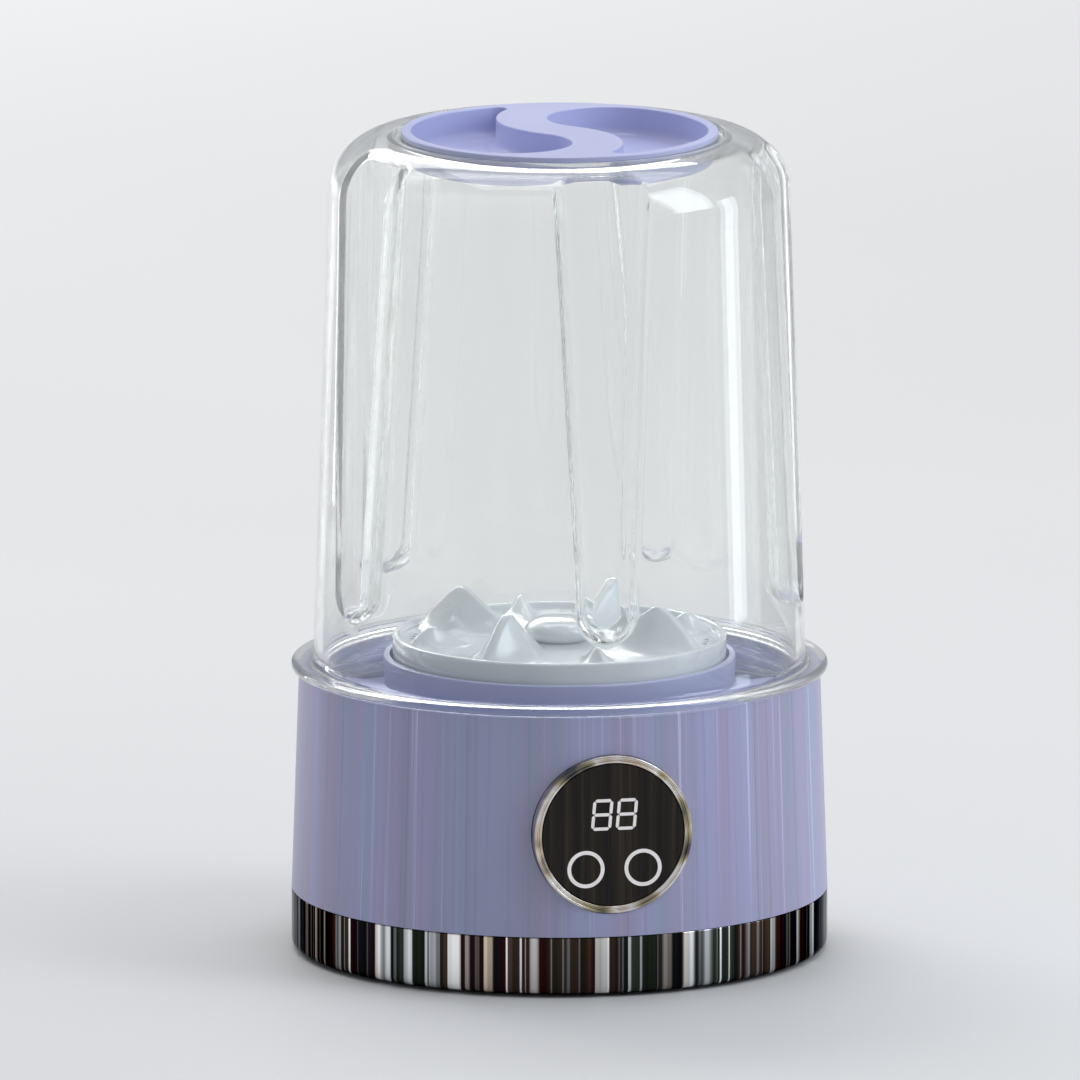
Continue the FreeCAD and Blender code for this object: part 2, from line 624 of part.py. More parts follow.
# ---- clear tub ----
def flute_tool(grow):
    """The space that one flute takes out of the tub, at angle 0, grown by a wall."""
    radius = FLUTE_HALF_WIDTH + grow
    flare = math.radians(FLUTE_FLARE)
    height = TUB_TOP + 10.0 - FLUTE_LOW
    foot = Vector(0, radius * math.cos(flare), -radius * math.sin(flare))
    top = foot + Vector(0, height * math.tan(flare), height)

    def mirrored(point):
        return Vector(point.x, -point.y, point.z)

    edges = [
        Part.Arc(mirrored(foot), Vector(0, 0, -radius), foot).toShape(),
        Part.LineSegment(foot, top).toShape(),
        Part.LineSegment(top, mirrored(top)).toShape(),
        Part.LineSegment(mirrored(top), mirrored(foot)).toShape(),
    ]
    tool = Part.Face(Part.Wire(edges)).extrude(Vector(40.0, 0, 0))
    inner = [
        edge for edge in tool.Edges
        if edge.BoundBox.XMax < 0.01 and edge.BoundBox.ZMin < height / 2
    ]
    tool = tool.makeFillet(FLUTE_ROUND + grow, inner)
    tool.rotate(CENTRE, Vector(0, 1, 0), -FLUTE_LEAN)
    centre_height = FLUTE_LOW + FLUTE_HALF_WIDTH
    inner_radius = tub_radius(centre_height) - FLUTE_DEPTH - grow
    tool.translate(Vector(inner_radius, 0, centre_height))
    return tool


def tub():
    """Clear tub: fluted wall, rounded shoulder, mouth with a seat, flange and skirt."""
    flute_angles = evenly(FLUTE_COUNT, FLUTE_ANGLE)
    outside = revolve(
        (0, SKIRT_BOTTOM),
        (SKIRT_RADIUS, SKIRT_BOTTOM),
        (SKIRT_RADIUS, FLANGE_BOTTOM),
        (FLANGE_RADIUS, FLANGE_BOTTOM),
        (FLANGE_RADIUS, FLANGE_TOP),
        (TUB_FOOT_RADIUS, FLANGE_TOP),
        (tub_radius(TUB_TOP), TUB_TOP),
        (0, TUB_TOP),
    )
    outside = outside.makeFillet(SHOULDER_ROUND, circles(outside, tub_radius(TUB_TOP), TUB_TOP))
    outside = outside.makeFillet(0.8, circles(outside, FLANGE_RADIUS, FLANGE_TOP))
    outside = outside.cut(around(flute_tool(0.0), flute_angles))
    ceiling = TUB_TOP - TUB_WALL
    inside = revolve(
        (0, SKIRT_BOTTOM - 1),
        (SKIRT_INNER, SKIRT_BOTTOM - 1),
        (SKIRT_INNER, FLANGE_BOTTOM),
        (tub_radius(FLANGE_TOP) - TUB_WALL, FLANGE_TOP),
        (tub_radius(ceiling) - TUB_WALL, ceiling),
        (0, ceiling),
    )
    corner = circles(inside, tub_radius(ceiling) - TUB_WALL, ceiling)
    inside = inside.makeFillet(SHOULDER_ROUND - TUB_WALL, corner)
    inside = inside.cut(around(flute_tool(TUB_WALL), flute_angles))
    collar = cylinder(COLLAR_RADIUS, SEAT_HEIGHT - COLLAR_THICK, TUB_TOP - TUB_WALL / 2)
    body = fuse(outside.cut(inside), collar)
    body = body.cut(cylinder(MOUTH_RADIUS, SEAT_HEIGHT - COLLAR_THICK - 1, TUB_TOP + 1))
    body = body.cut(cylinder(SEAT_RADIUS, SEAT_HEIGHT, TUB_TOP + 1))
    for ridge in helical_ridges(SKIRT_RADIUS, SKIRT_RIDGE, SKIRT_THREAD_LOW,
                                SKIRT_THREAD_RISE, 0.0):
        body = body.fuse(ridge)
    return body


# ---- lid ----
def comma(grow, low, high):
    """One comma-shaped column of the lid, grown outwards all round."""
    rim = RECESS_RADIUS + grow
    small = S_RADIUS - S_BAND_WIDTH / 2 + grow
    large = S_RADIUS + S_BAND_WIDTH / 2 - grow
    round_centre = polar(S_RADIUS, S_AXIS)
    bend_centre = polar(S_RADIUS, S_AXIS + 180.0)
    tail_share = (rim ** 2 + S_RADIUS ** 2 - large ** 2) / (2 * rim * S_RADIUS)
    tail_angle = S_AXIS - 180.0 + math.degrees(math.acos(tail_share))
    head = polar(rim, S_AXIS)
    waist = polar(S_BAND_WIDTH / 2 - grow, S_AXIS)
    tail = polar(rim, tail_angle)
    seen_tail = tail - bend_centre
    bend_end = math.degrees(math.atan2(seen_tail.y, seen_tail.x))
    edges = [
        Part.Arc(head, round_centre + polar(small, S_AXIS + 90.0), waist).toShape(),
        Part.Arc(waist, bend_centre + polar(large, (S_AXIS + bend_end) / 2), tail).toShape(),
        Part.Arc(tail, polar(rim, (tail_angle + S_AXIS) / 2), head).toShape(),
    ]
    column = Part.Face(Part.Wire(edges)).extrude(Vector(0, 0, high - low))
    column.translate(Vector(0, 0, low))
    upright = [
        edge for edge in column.Edges
        if edge.BoundBox.ZLength > (high - low) / 2
        and (edge.CenterOfMass - tail).cross(UP).Length < 0.1
    ]
    column = column.makeFillet(TAIL_ROUND + grow, upright)
    foot = [edge for edge in column.Edges if edge.BoundBox.ZMax < low + 0.01]
    return column.makeFillet(RECESS_ROUND + grow, foot)


def lid():
    """Lid: rim plate and two hollow cups with an S-shaped bridge between them."""
    plate = cylinder(LID_RADIUS, LID_PLATE_BOTTOM, LID_TOP)
    plate = plate.makeFillet(LID_EDGE_ROUND, circles(plate, LID_RADIUS, LID_TOP))
    body = fuse(plate, *around(comma(LID_WALL, CUP_BOTTOM, LID_TOP - LID_PLATE / 2), (0.0, 180.0)))
    body = body.cut(around(comma(0.0, LID_TOP - RECESS_DEPTH, LID_TOP + 5), (0.0, 180.0)))
    mouth = [
        edge for edge in body.Edges
        if edge.BoundBox.ZMin > LID_TOP - 0.01 and edge.Length < 2 * math.pi * RECESS_RADIUS
    ]
    return body.makeFillet(LID_EDGE_ROUND, mouth)


def lid_gasket():
    """Soft ring under the lid's rim, on the seat of the tub."""
    return tube(GASKET_RADIUS, RECESS_RADIUS + LID_WALL + GASKET_GAP,
                SEAT_HEIGHT + GASKET_GAP, LID_PLATE_BOTTOM)


# ---- pulsator ----
def stadium(inner, outer, half, height):
    """A closed outline with round ends, along +X from inner to outer."""
    a, b = inner + half, outer - half
    return Part.Wire([
        Part.LineSegment(Vector(a, -half, height), Vector(b, -half, height)).toShape(),
        Part.Arc(Vector(b, -half, height), Vector(outer, 0, height),
                 Vector(b, half, height)).toShape(),
        Part.LineSegment(Vector(b, half, height), Vector(a, half, height)).toShape(),
        Part.Arc(Vector(a, half, height), Vector(inner, 0, height),
                 Vector(a, -half, height)).toShape(),
    ])


def fin(inner, peak, outer, top, base_width, ridge_width):
    """A radial fin that rises to a peak, with hollow flanks."""
    low = PULSATOR_FLOOR - PULSATOR_WALL / 2
    sections = []
    steps = 6
    for k in range(steps + 1):
        rise = k / steps
        width = ridge_width + (base_width - ridge_width) * (1 - rise) ** 2
        start = inner + (peak - inner) * rise ** 1.15 - width * rise
        end = outer - (outer - peak) * rise ** 1.5 + width * rise
        sections.append(stadium(start, end, width / 2, low + (top - low) * rise))
    return Part.makeLoft(sections, True, False)


def pulsator():
    """White wash disc with a rim, tall and low fins, drain holes and a driven hub."""
    hub_foot = BOSS_TOP + PULSATOR_HUB_GAP
    ceiling = PULSATOR_FLOOR - PULSATOR_WALL
    skirt_inner = PULSATOR_RADIUS - PULSATOR_RIM_WIDTH
    body = revolve(
        (0, hub_foot),
        (PULSATOR_HUB_RADIUS, hub_foot),
        (PULSATOR_HUB_RADIUS, ceiling),
        (skirt_inner, ceiling),
        (skirt_inner, PULSATOR_BOTTOM),
        (PULSATOR_RADIUS, PULSATOR_BOTTOM),
        (PULSATOR_RADIUS, PULSATOR_RIM_TOP),
        (skirt_inner, PULSATOR_RIM_TOP),
        (skirt_inner, PULSATOR_FLOOR),
        (0, PULSATOR_FLOOR),
    )
    body = body.makeFillet(0.7, circles(body, PULSATOR_RADIUS, PULSATOR_RIM_TOP)
                           + circles(body, skirt_inner, PULSATOR_RIM_TOP))
    tall = fin(TALL_FIN_INNER, TALL_FIN_PEAK, FIN_OUTER, TALL_FIN_TOP,
               TALL_FIN_BASE, TALL_FIN_RIDGE)
    low = fin(LOW_FIN_INNER, LOW_FIN_PEAK, FIN_OUTER, LOW_FIN_TOP,
              LOW_FIN_BASE, LOW_FIN_RIDGE)
    body = body.fuse(around(tall, evenly(FIN_COUNT, TALL_FIN_ANGLE))
                     + around(low, evenly(FIN_COUNT, LOW_FIN_ANGLE)))
    hole = cylinder(DRAIN_RADIUS, PULSATOR_BOTTOM, PULSATOR_RIM_TOP, DRAIN_CIRCLE, 0.0)
    halfway = (TALL_FIN_ANGLE + LOW_FIN_ANGLE) / 2
    drains = []
    for middle in evenly(2 * FIN_COUNT, halfway):
        drains += around(hole, [middle + DRAIN_PITCH * k for k in (-1, 0, 1)])
    return body.cut(drains + [shaft_section(hub_foot, PULSATOR_FLOOR)])


def shaft_section(low, high):
    """The flattened end of the shaft, as a solid."""
    flats = block((-SHAFT_RADIUS, SHAFT_RADIUS), (-SHAFT_FLAT, SHAFT_FLAT), (low, high))
    return cylinder(SHAFT_RADIUS, low, high).common(flats)


def drive_shaft():
    """Steel shaft with a flattened, tapped upper end."""
    flat_start = BOSS_TOP
    body = fuse(cylinder(SHAFT_RADIUS, SHAFT_BOTTOM, flat_start),
                shaft_section(flat_start, SHAFT_TOP))
    return body.cut(cylinder(SCREW_RADIUS, SHAFT_TOP - SCREW_BITE, SHAFT_TOP))


def pulsator_screw():
    """Screw, with its washer face, that clamps the pulsator on the shaft."""
    one = screw(SCREW_RADIUS, SCREW_HEAD_RADIUS + 0.8, SCREW_HEAD_HEIGHT, SCREW_BITE)
    one.rotate(CENTRE, Vector(1, 0, 0), 180)
    one.translate(Vector(0, 0, PULSATOR_FLOOR))
    return one


def hub_cap():
    """Pebble-shaped cap over the screw."""
    middle = (CAP_TOP + PULSATOR_FLOOR) / 2
    half = (CAP_TOP - PULSATOR_FLOOR) / 2
    pebble = Part.makeSphere(CAP_RADIUS)
    squash = FreeCAD.Matrix()
    squash.scale(1, 1, (half + 0.6) / CAP_RADIUS)
    pebble = pebble.transformGeometry(squash)
    pebble.translate(Vector(0, 0, middle - 0.6))
    keep = cylinder(CAP_RADIUS + 1, PULSATOR_FLOOR, CAP_TOP + 1)
    body = fuse(pebble.common(keep), cylinder(CAP_WAIST, PULSATOR_FLOOR, middle))
    return body.cut(cylinder(CAP_HOLLOW, PULSATOR_FLOOR, PULSATOR_FLOOR + SCREW_HEAD_HEIGHT + 0.6))


# ---- gears and motor ----
def involute(angle):
    """The involute function."""
    return math.tan(angle) - angle


def gear(teeth, low, high, bore):
    """A spur gear about Z with one tooth centred on +X."""
    pitch = GEAR_MODULE * teeth / 2
    base = pitch * math.cos(math.radians(PRESSURE_ANGLE))
    tip = pitch + 0.85 * GEAR_MODULE
    root = pitch - 1.15 * GEAR_MODULE
    half_pitch = math.pi / (2 * teeth) - GEAR_BACKLASH / (4 * pitch)

    def half_angle(radius):
        lean = math.acos(min(1.0, base / radius))
        return math.degrees(half_pitch + involute(math.radians(PRESSURE_ANGLE)) - involute(lean))

    flank_start = max(base, root)
    middle = (flank_start + tip) / 2
    step = 360.0 / teeth
    edges = []
    for centre in evenly(teeth):
        low_side = [polar(r, centre - half_angle(r)) for r in (flank_start, middle, tip)]
        high_side = [polar(r, centre + half_angle(r)) for r in (tip, middle, flank_start)]
        foot_angle = half_angle(flank_start)
        feet = [polar(root, centre + side * foot_angle) for side in (-1, 1)]
        next_foot = polar(root, centre + step - foot_angle)
        edges.append(Part.Arc(*low_side).toShape())
        edges.append(Part.Arc(low_side[2], polar(tip, centre), high_side[0]).toShape())
        edges.append(Part.Arc(*high_side).toShape())
        if root < flank_start - 1e-6:
            edges.insert(len(edges) - 3, Part.LineSegment(feet[0], low_side[0]).toShape())
            edges.append(Part.LineSegment(high_side[2], feet[1]).toShape())
        edges.append(Part.Arc(feet[1], polar(root, centre + step / 2), next_foot).toShape())
    body = Part.Face(Part.Wire(edges)).extrude(Vector(0, 0, high - low))
    body.translate(Vector(0, 0, low))
    return body.cut(cylinder(bore, low, high))


def output_gear():
    """Large gear pressed on the drive shaft, lightened by a web."""
    high = GEAR_LOW + GEAR_WIDTH
    body = gear(GEAR_TEETH, GEAR_LOW, high, SHAFT_RADIUS)
    groove = tube(GEAR_PITCH_RADIUS - 4.0, SHAFT_RADIUS + 4.0, high - GEAR_WIDTH / 3, high)
    return body.cut(groove)


def motor_pinion():
    """Small gear on the motor's shaft, with a gap facing the large gear's tooth."""
    body = gear(PINION_TEETH, GEAR_LOW, GEAR_LOW + GEAR_WIDTH, MOTOR_SHAFT_RADIUS)
    body = turned(body, 180.0 / PINION_TEETH)
    body.translate(Vector(MOTOR_X, 0, 0))
    return body


def case_cover_top():
    """Top face of the gear case's cover."""
    return CASE_TOP + CASE_WALL


def case_outline(grow, low, high):
    """Keyhole-shaped column round both gears."""
    pinion_space = PINION_PITCH_RADIUS + GEAR_MODULE + CASE_GAP + grow
    return fuse(
        cylinder(CASE_INNER + grow, low, high),
        cylinder(pinion_space, low, high, MOTOR_X, 0.0),
        block((0, MOTOR_X), (-pinion_space, pinion_space), (low, high)),
    )


def gear_case():
    """Cup under the gears, with the lower bearing's seat and the motor's mount."""
    seat_low = LOWER_BEARING_LOW - 1.0
    ear = cylinder(CASE_EAR_RADIUS, CASE_TOP - CASE_EAR_THICK, CASE_TOP, CASE_EAR_CIRCLE, 0.0)
    body = fuse(
        case_outline(CASE_WALL, CASE_FLOOR, CASE_TOP),
        cylinder(BOSS_RADIUS, seat_low, CASE_FLOOR + 0.5),
        *around(ear, CASE_EAR_ANGLES),
    )
    hole = cylinder(SCREW_RADIUS, CASE_TOP - CASE_EAR_THICK, CASE_TOP, CASE_EAR_CIRCLE, 0.0)
    cuts = [
        case_outline(0.0, CASE_FLOOR + CASE_WALL, CASE_TOP),
        cylinder(BEARING_RADIUS, LOWER_BEARING_LOW, CASE_FLOOR + CASE_WALL),
        cylinder(SHAFT_RADIUS + 0.5, seat_low, CASE_FLOOR),
        cylinder(MOTOR_NOSE_RADIUS + PIECE_GAP, CASE_FLOOR, CASE_FLOOR + CASE_WALL, MOTOR_X),
    ]
    cuts += [cylinder(SMALL_SCREW_RADIUS, CASE_FLOOR, CASE_FLOOR + CASE_WALL, *spot)
             for spot in motor_screw_spots()]
    return body.cut(cuts + around(hole, CASE_EAR_ANGLES))


def gear_case_cover():
    """Plate that closes the gear case, with a bore round the shaft."""
    low, high = CASE_TOP, case_cover_top()
    ear = cylinder(CASE_EAR_RADIUS, low, high, CASE_EAR_CIRCLE, 0.0)
    hole = cylinder(SCREW_RADIUS, low, high, CASE_EAR_CIRCLE, 0.0)
    body = fuse(case_outline(CASE_WALL, low, high), *around(ear, CASE_EAR_ANGLES))
    return body.cut([cylinder(SHAFT_RADIUS + 2.0, low, high)] + around(hole, CASE_EAR_ANGLES))


def gear_case_screws():
    """Four screws that hold the case and its cover to the well."""
    seat = CASE_TOP - CASE_EAR_THICK
    length = PLATE_TOP - PLATE_THICK - seat
    one = screw(SCREW_RADIUS, SCREW_HEAD_RADIUS, SCREW_HEAD_HEIGHT, length)
    one.translate(Vector(CASE_EAR_CIRCLE, 0, seat))
    return Part.makeCompound(around(one, CASE_EAR_ANGLES))


def motor_screw_spots():
    """Where the motor is screwed to the floor of the gear case."""
    return [(MOTOR_X, -MOTOR_SCREW_SPREAD), (MOTOR_X, MOTOR_SCREW_SPREAD)]


def motor_can():
    """Drawn steel can with a nose bearing; open at its lower end."""
    low = MOTOR_BOTTOM + MOTOR_CAP
    nose_top = CASE_FLOOR + CASE_WALL - 0.2
    body = fuse(cylinder(MOTOR_RADIUS, low, CASE_FLOOR, MOTOR_X),
                cylinder(MOTOR_NOSE_RADIUS, CASE_FLOOR, nose_top, MOTOR_X))
    cuts = [
        cylinder(MOTOR_RADIUS - MOTOR_WALL, low, CASE_FLOOR - MOTOR_WALL, MOTOR_X),
        cylinder(MOTOR_SHAFT_RADIUS + RUNNING_FIT, low, nose_top, MOTOR_X),
    ]
    cuts += [cylinder(SMALL_SCREW_RADIUS, CASE_FLOOR - MOTOR_WALL, CASE_FLOOR, *spot)
             for spot in motor_screw_spots()]
    return body.cut(cuts)


def motor_end_cap():
    """Moulded cap with the rear bearing and two terminal tabs."""
    high = MOTOR_BOTTOM + MOTOR_CAP
    body = cylinder(MOTOR_RADIUS, MOTOR_BOTTOM, high, MOTOR_X)
    tabs = [
        block((x - 1.2, x + 1.2), (MOTOR_RADIUS - 1, MOTOR_RADIUS + 1.5),
              (MOTOR_BOTTOM + 0.8, high - 0.5))
        for x in motor_lead_x()
    ]
    bore = cylinder(MOTOR_SHAFT_RADIUS + RUNNING_FIT, MOTOR_BOTTOM + 0.8, high, MOTOR_X)
    return fuse(body, *tabs).cut(bore)


def motor_magnets():
    """Two curved magnets against the wall of the can."""
    low, high = MOTOR_BOTTOM + MOTOR_CAP + 4, CASE_FLOOR - MOTOR_WALL - 4
    outer = MOTOR_RADIUS - MOTOR_WALL - PIECE_GAP
    ring = tube(outer, outer - MAGNET_THICK, low, high, MOTOR_X)
    gap = block((MOTOR_X - 4, MOTOR_X + 4), (-MOTOR_RADIUS, MOTOR_RADIUS), (low, high))
    return Part.makeCompound(ring.cut(gap).Solids)


def motor_shaft():
    """Thin steel shaft through the motor into the pinion."""
    return cylinder(MOTOR_SHAFT_RADIUS, MOTOR_BOTTOM + 1.2, GEAR_LOW + GEAR_WIDTH + 0.4, MOTOR_X)


def rotor_core():
    """Wound iron core of the motor."""
    radius = MOTOR_RADIUS - MOTOR_WALL - PIECE_GAP - MAGNET_THICK - ROTOR_GAP
    low, high = MOTOR_BOTTOM + MOTOR_CAP + 5, CASE_FLOOR - MOTOR_WALL - 5
    body = tube(radius, MOTOR_SHAFT_RADIUS, low, high, MOTOR_X)
    slot = block((MOTOR_X + radius - 4, MOTOR_X + radius + 1), (-0.7, 0.7), (low, high))
    for angle in evenly(3, 60.0):
        cut = slot.copy()
        cut.rotate(Vector(MOTOR_X, 0, 0), UP, angle)
        body = body.cut(cut)
    return body


def motor_screws():
    """Two short screws, heads inside the gear case."""
    seat = CASE_FLOOR + CASE_WALL
    one = screw(SMALL_SCREW_RADIUS, SMALL_HEAD_RADIUS, SMALL_HEAD_HEIGHT, CASE_WALL + MOTOR_WALL)
    one.rotate(CENTRE, Vector(1, 0, 0), 180)
    placed = []
    for x, y in motor_screw_spots():
        copy = one.copy()
        copy.translate(Vector(x, y, seat))
        placed.append(copy)
    return Part.makeCompound(placed)


# ---- display ----
def display_lug_spots():
    """Four (x, z) places round the display for its screws."""
    spots = [polar(LUG_CIRCLE, angle) for angle in LUG_ANGLES]
    return [(spot.x, DISPLAY_HEIGHT + spot.y) for spot in spots]


def well_space():
    """The space that the well takes over the display, with its clearance."""
    low = WELL_FLOOR - WELL_FLOOR_THICK - WELL_CLEARANCE
    return cylinder(WELL_OUTER + WELL_CLEARANCE, low, SHELL_TOP)


def display_bezel():
    """Polished ring with a rounded front edge."""
    back = DISPLAY_FRONT - BEZEL_DEPTH
    body = forward(BEZEL_RADIUS, DISPLAY_FRONT, back, 0, DISPLAY_HEIGHT)
    body = body.cut(forward(LENS_RADIUS, DISPLAY_FRONT, back, 0, DISPLAY_HEIGHT))
    front = [
        edge for edge in body.Edges
        if isinstance(edge.Curve, Part.Circle) and abs(edge.Curve.Center.y + DISPLAY_FRONT) < 0.01
    ]
    return body.makeFillet(BEZEL_ROUND, front).cut(well_space())


def display_lens():
    """Glossy black panel with shallow pockets for its lit marks."""
    body = forward(LENS_RADIUS - PIECE_GAP, LENS_FRONT, LENS_FRONT - LENS_THICK, 0, DISPLAY_HEIGHT)
    return body.cut(segment_solids() + key_solids())


def segment_solids():
    """Seven segments for each of two digits, flush with the front of the lens."""
    half_w = (DIGIT_WIDTH - DIGIT_STROKE) / 2
    half_h = (DIGIT_HEIGHT - DIGIT_STROKE) / 2
    s = DIGIT_STROKE / 2
    spots = [(0, z, half_w) for z in (-half_h, 0, half_h)]
    spots += [(x, z, half_h / 2) for x in (-half_w, half_w) for z in (-half_h / 2, half_h / 2)]
    solids = []
    for digit in (-0.5, 0.5):
        for number, (x, z, reach) in enumerate(spots):
            r = reach - SEGMENT_GAP
            outline = [(-r, 0), (-r + s, s), (r - s, s), (r, 0), (r - s, -s), (-r + s, -s)]
            if number > 2:
                outline = [(b, a) for a, b in outline]
            corners = [digit_point(digit, x + a, z + b) for a, b in outline]
            face = Part.Face(Part.makePolygon(corners + corners[:1]))
            solids.append(face.extrude(Vector(0, INLAY_DEPTH, 0)))
    return solids


def digit_point(digit, x, z):
    """A point of a slanted digit, on the front of the lens."""
    lean = z * math.tan(math.radians(DIGIT_SLANT))
    return Vector(DIGIT_OFFSET_X + digit * DIGIT_PITCH + x + lean, -LENS_FRONT,
                  DISPLAY_HEIGHT + DIGIT_OFFSET_Z + z)


def key_solids():
    """A ring for each touch key, flush with the front of the lens."""
    rings = []
    for side in (-1, 1):
        x, z = DIGIT_OFFSET_X + side * KEY_SPREAD, DISPLAY_HEIGHT - KEY_DROP
        outer = forward(KEY_RADIUS, LENS_FRONT, LENS_FRONT - INLAY_DEPTH, x, z)
        inner = forward(KEY_RADIUS - KEY_STROKE, LENS_FRONT, LENS_FRONT - INLAY_DEPTH, x, z)
        rings.append(outer.cut(inner))
    return rings


def digit_segments():
    """The lit segments of both digits."""
    return Part.makeCompound(segment_solids())


def touch_key_rings():
    """The lit rings of both touch keys."""
    return Part.makeCompound(key_solids())


def display_housing():
    """Carrier behind the lens, screwed to the back of the collar."""
    cup_radius = LENS_RADIUS - PIECE_GAP
    front = LENS_FRONT - LENS_THICK
    within = cylinder(WELL_OUTER, 0.0, SHELL_TOP)
    flange_back = COLLAR_BACK - HOUSING_FLANGE
    body = fuse(
        forward(BEZEL_RADIUS + COLLAR_WALL, COLLAR_BACK, flange_back, 0, DISPLAY_HEIGHT),
        forward(cup_radius, front, flange_back, 0, DISPLAY_HEIGHT),
        *[forward(LUG_RADIUS, COLLAR_BACK, flange_back, x, z).common(within)
          for x, z in display_lug_spots()],
    )
    cuts = [forward(cup_radius - HOUSING_WALL, front, flange_back, 0, DISPLAY_HEIGHT)]
    cuts += [forward(SMALL_SCREW_RADIUS, COLLAR_BACK, flange_back, x, z)
             for x, z in display_lug_spots()]
    return body.cut(cuts + [well_space()])


def display_board():
    """Round circuit board that carries the digits and key sensors."""
    front = LENS_FRONT - LENS_THICK - LED_THICK
    radius = LENS_RADIUS - PIECE_GAP - HOUSING_WALL
    return forward(radius, front, front - BOARD_THICK, 0, DISPLAY_HEIGHT)


def led_module():
    """Light box behind the digits, and a sensor pad behind each key."""
    front = LENS_FRONT - LENS_THICK
    half_w = DIGIT_PITCH / 2 + DIGIT_WIDTH / 2 + 1.5
    half_h = DIGIT_HEIGHT / 2 + 1.0
    middle = DISPLAY_HEIGHT + DIGIT_OFFSET_Z
    box = block((DIGIT_OFFSET_X - half_w, DIGIT_OFFSET_X + half_w), (-front, -front + LED_THICK),
                (middle - half_h, middle + half_h))
    pads = [
        forward(KEY_RADIUS, front, front - LED_THICK, DIGIT_OFFSET_X + side * KEY_SPREAD,
                DISPLAY_HEIGHT - KEY_DROP)
        for side in (-1, 1)
    ]
    return Part.makeCompound([box] + pads)


def display_screws():
    """Four screws through the housing into the lugs of the shell."""
    length = HOUSING_FLANGE + LUG_BITE
    one = screw(SMALL_SCREW_RADIUS, SMALL_HEAD_RADIUS, SMALL_HEAD_HEIGHT, length)
    one.rotate(CENTRE, Vector(1, 0, 0), 90)
    placed = []
    for x, z in display_lug_spots():
        copy = one.copy()
        copy.translate(Vector(x, -COLLAR_BACK + HOUSING_FLANGE, z))
        placed.append(copy)
    return Part.makeCompound(placed)


# ---- battery, boards and charge socket ----
def cell_rows():
    """Y of each cell's axis."""
    return [CELL_ROW_Y - CELL_PITCH / 2, CELL_ROW_Y + CELL_PITCH / 2]


def cell_axis_height():
    """Height of the cells' axes above the floor of their tray."""
    return COVER_TOP + TRAY_WALL + PIECE_GAP + CELL_RADIUS


def lying_cell(radius, length, y):
    """A cylinder along X, centred on the axis."""
    return Part.makeCylinder(radius, length, Vector(-length / 2, y, cell_axis_height()),
                             Vector(1, 0, 0))


def battery_cells():
    """Two rechargeable cells with their raised end contacts."""
    cells = []
    for y in cell_rows():
        nub = Part.makeCylinder(2.8, 0.8, Vector(CELL_LENGTH / 2, y, cell_axis_height()),
                                Vector(1, 0, 0))
        cells.append(fuse(lying_cell(CELL_RADIUS, CELL_LENGTH, y), nub))
    return Part.makeCompound(cells)


def battery_tray():
    """Open tray on the cover with a trough for each cell."""
    half_x = CELL_LENGTH / 2 + CONTACT_SPACE + TRAY_WALL
    half_y = CELL_PITCH / 2 + CELL_RADIUS + TRAY_WALL
    body = block((-half_x, half_x), (CELL_ROW_Y - half_y, CELL_ROW_Y + half_y),
                 (COVER_TOP, COVER_TOP + TRAY_HEIGHT))
    length = CELL_LENGTH + 2 * CONTACT_SPACE
    trough = CELL_RADIUS + PIECE_GAP
    return body.cut([lying_cell(trough, length, y) for y in cell_rows()])


def battery_contacts():
    """Nickel strips at both ends of the cells."""
    width = CELL_PITCH / 2 + 3.0
    plates = []
    for side in (-1, 1):
        near = CELL_LENGTH / 2 + 0.9
        x = sorted((side * near, side * (near + CONTACT_THICK)))
        low = COVER_TOP + TRAY_HEIGHT
        plates.append(block(x, (CELL_ROW_Y - width, CELL_ROW_Y + width),
                            (low + 0.2, low + 7.0)))
    return Part.makeCompound(plates)


def board_post_spots():
    """Where the main board is screwed down."""
    return [
        (x, y)
        for x in (MAIN_BOARD_X[0] + POST_INSET, MAIN_BOARD_X[1] - POST_INSET)
        for y in (MAIN_BOARD_Y[0] + POST_INSET, MAIN_BOARD_Y[1] - POST_INSET)
    ]


def main_board():
    """Control board on the posts of the cover."""
    body = block(MAIN_BOARD_X, MAIN_BOARD_Y, (MAIN_BOARD_Z, MAIN_BOARD_Z + BOARD_THICK))
    return body.cut([cylinder(SMALL_SCREW_RADIUS, MAIN_BOARD_Z, MAIN_BOARD_Z + BOARD_THICK, *spot)
                     for spot in board_post_spots()])


def board_components():
    """Terminals, capacitor, coil and controller on the main board."""
    low = MAIN_BOARD_Z + BOARD_THICK
    parts = []
    for x, y in TERMINAL_SPOTS:
        half_x, half_y = TERMINAL_SIZE[0] / 2, TERMINAL_SIZE[1] / 2
        parts.append(block((x - half_x, x + half_x), (y - half_y, y + half_y),
                           (low, TERMINAL_TOP)))
    parts.append(cylinder(5.0, low, low + 11.0, 4.0, 26.0))
    parts.append(block((-22.0, -12.0), (22.0, 32.0), (low, low + 1.6)))
    parts.append(block((14.0, 22.0), (22.0, 30.0), (low, low + 5.0)))
    return Part.makeCompound(parts)


def down_screws(spots, seat, through):
    """Small screws that point down, their heads on the seat."""
    one = screw(SMALL_SCREW_RADIUS, SMALL_HEAD_RADIUS, SMALL_HEAD_HEIGHT, through + SMALL_BITE)
    one.rotate(CENTRE, Vector(1, 0, 0), 180)
    placed = []
    for x, y in spots:
        copy = one.copy()
        copy.translate(Vector(x, y, seat))
        placed.append(copy)
    return Part.makeCompound(placed)


def board_screws():
    """Four screws of the main board."""
    return down_screws(board_post_spots(), MAIN_BOARD_Z + BOARD_THICK, BOARD_THICK)


def charge_board_bottom():
    """Underside of the charge board, which carries the socket on top."""
    return PORT_HEIGHT - PORT_THICK / 2 - CHARGE_BOARD_THICK


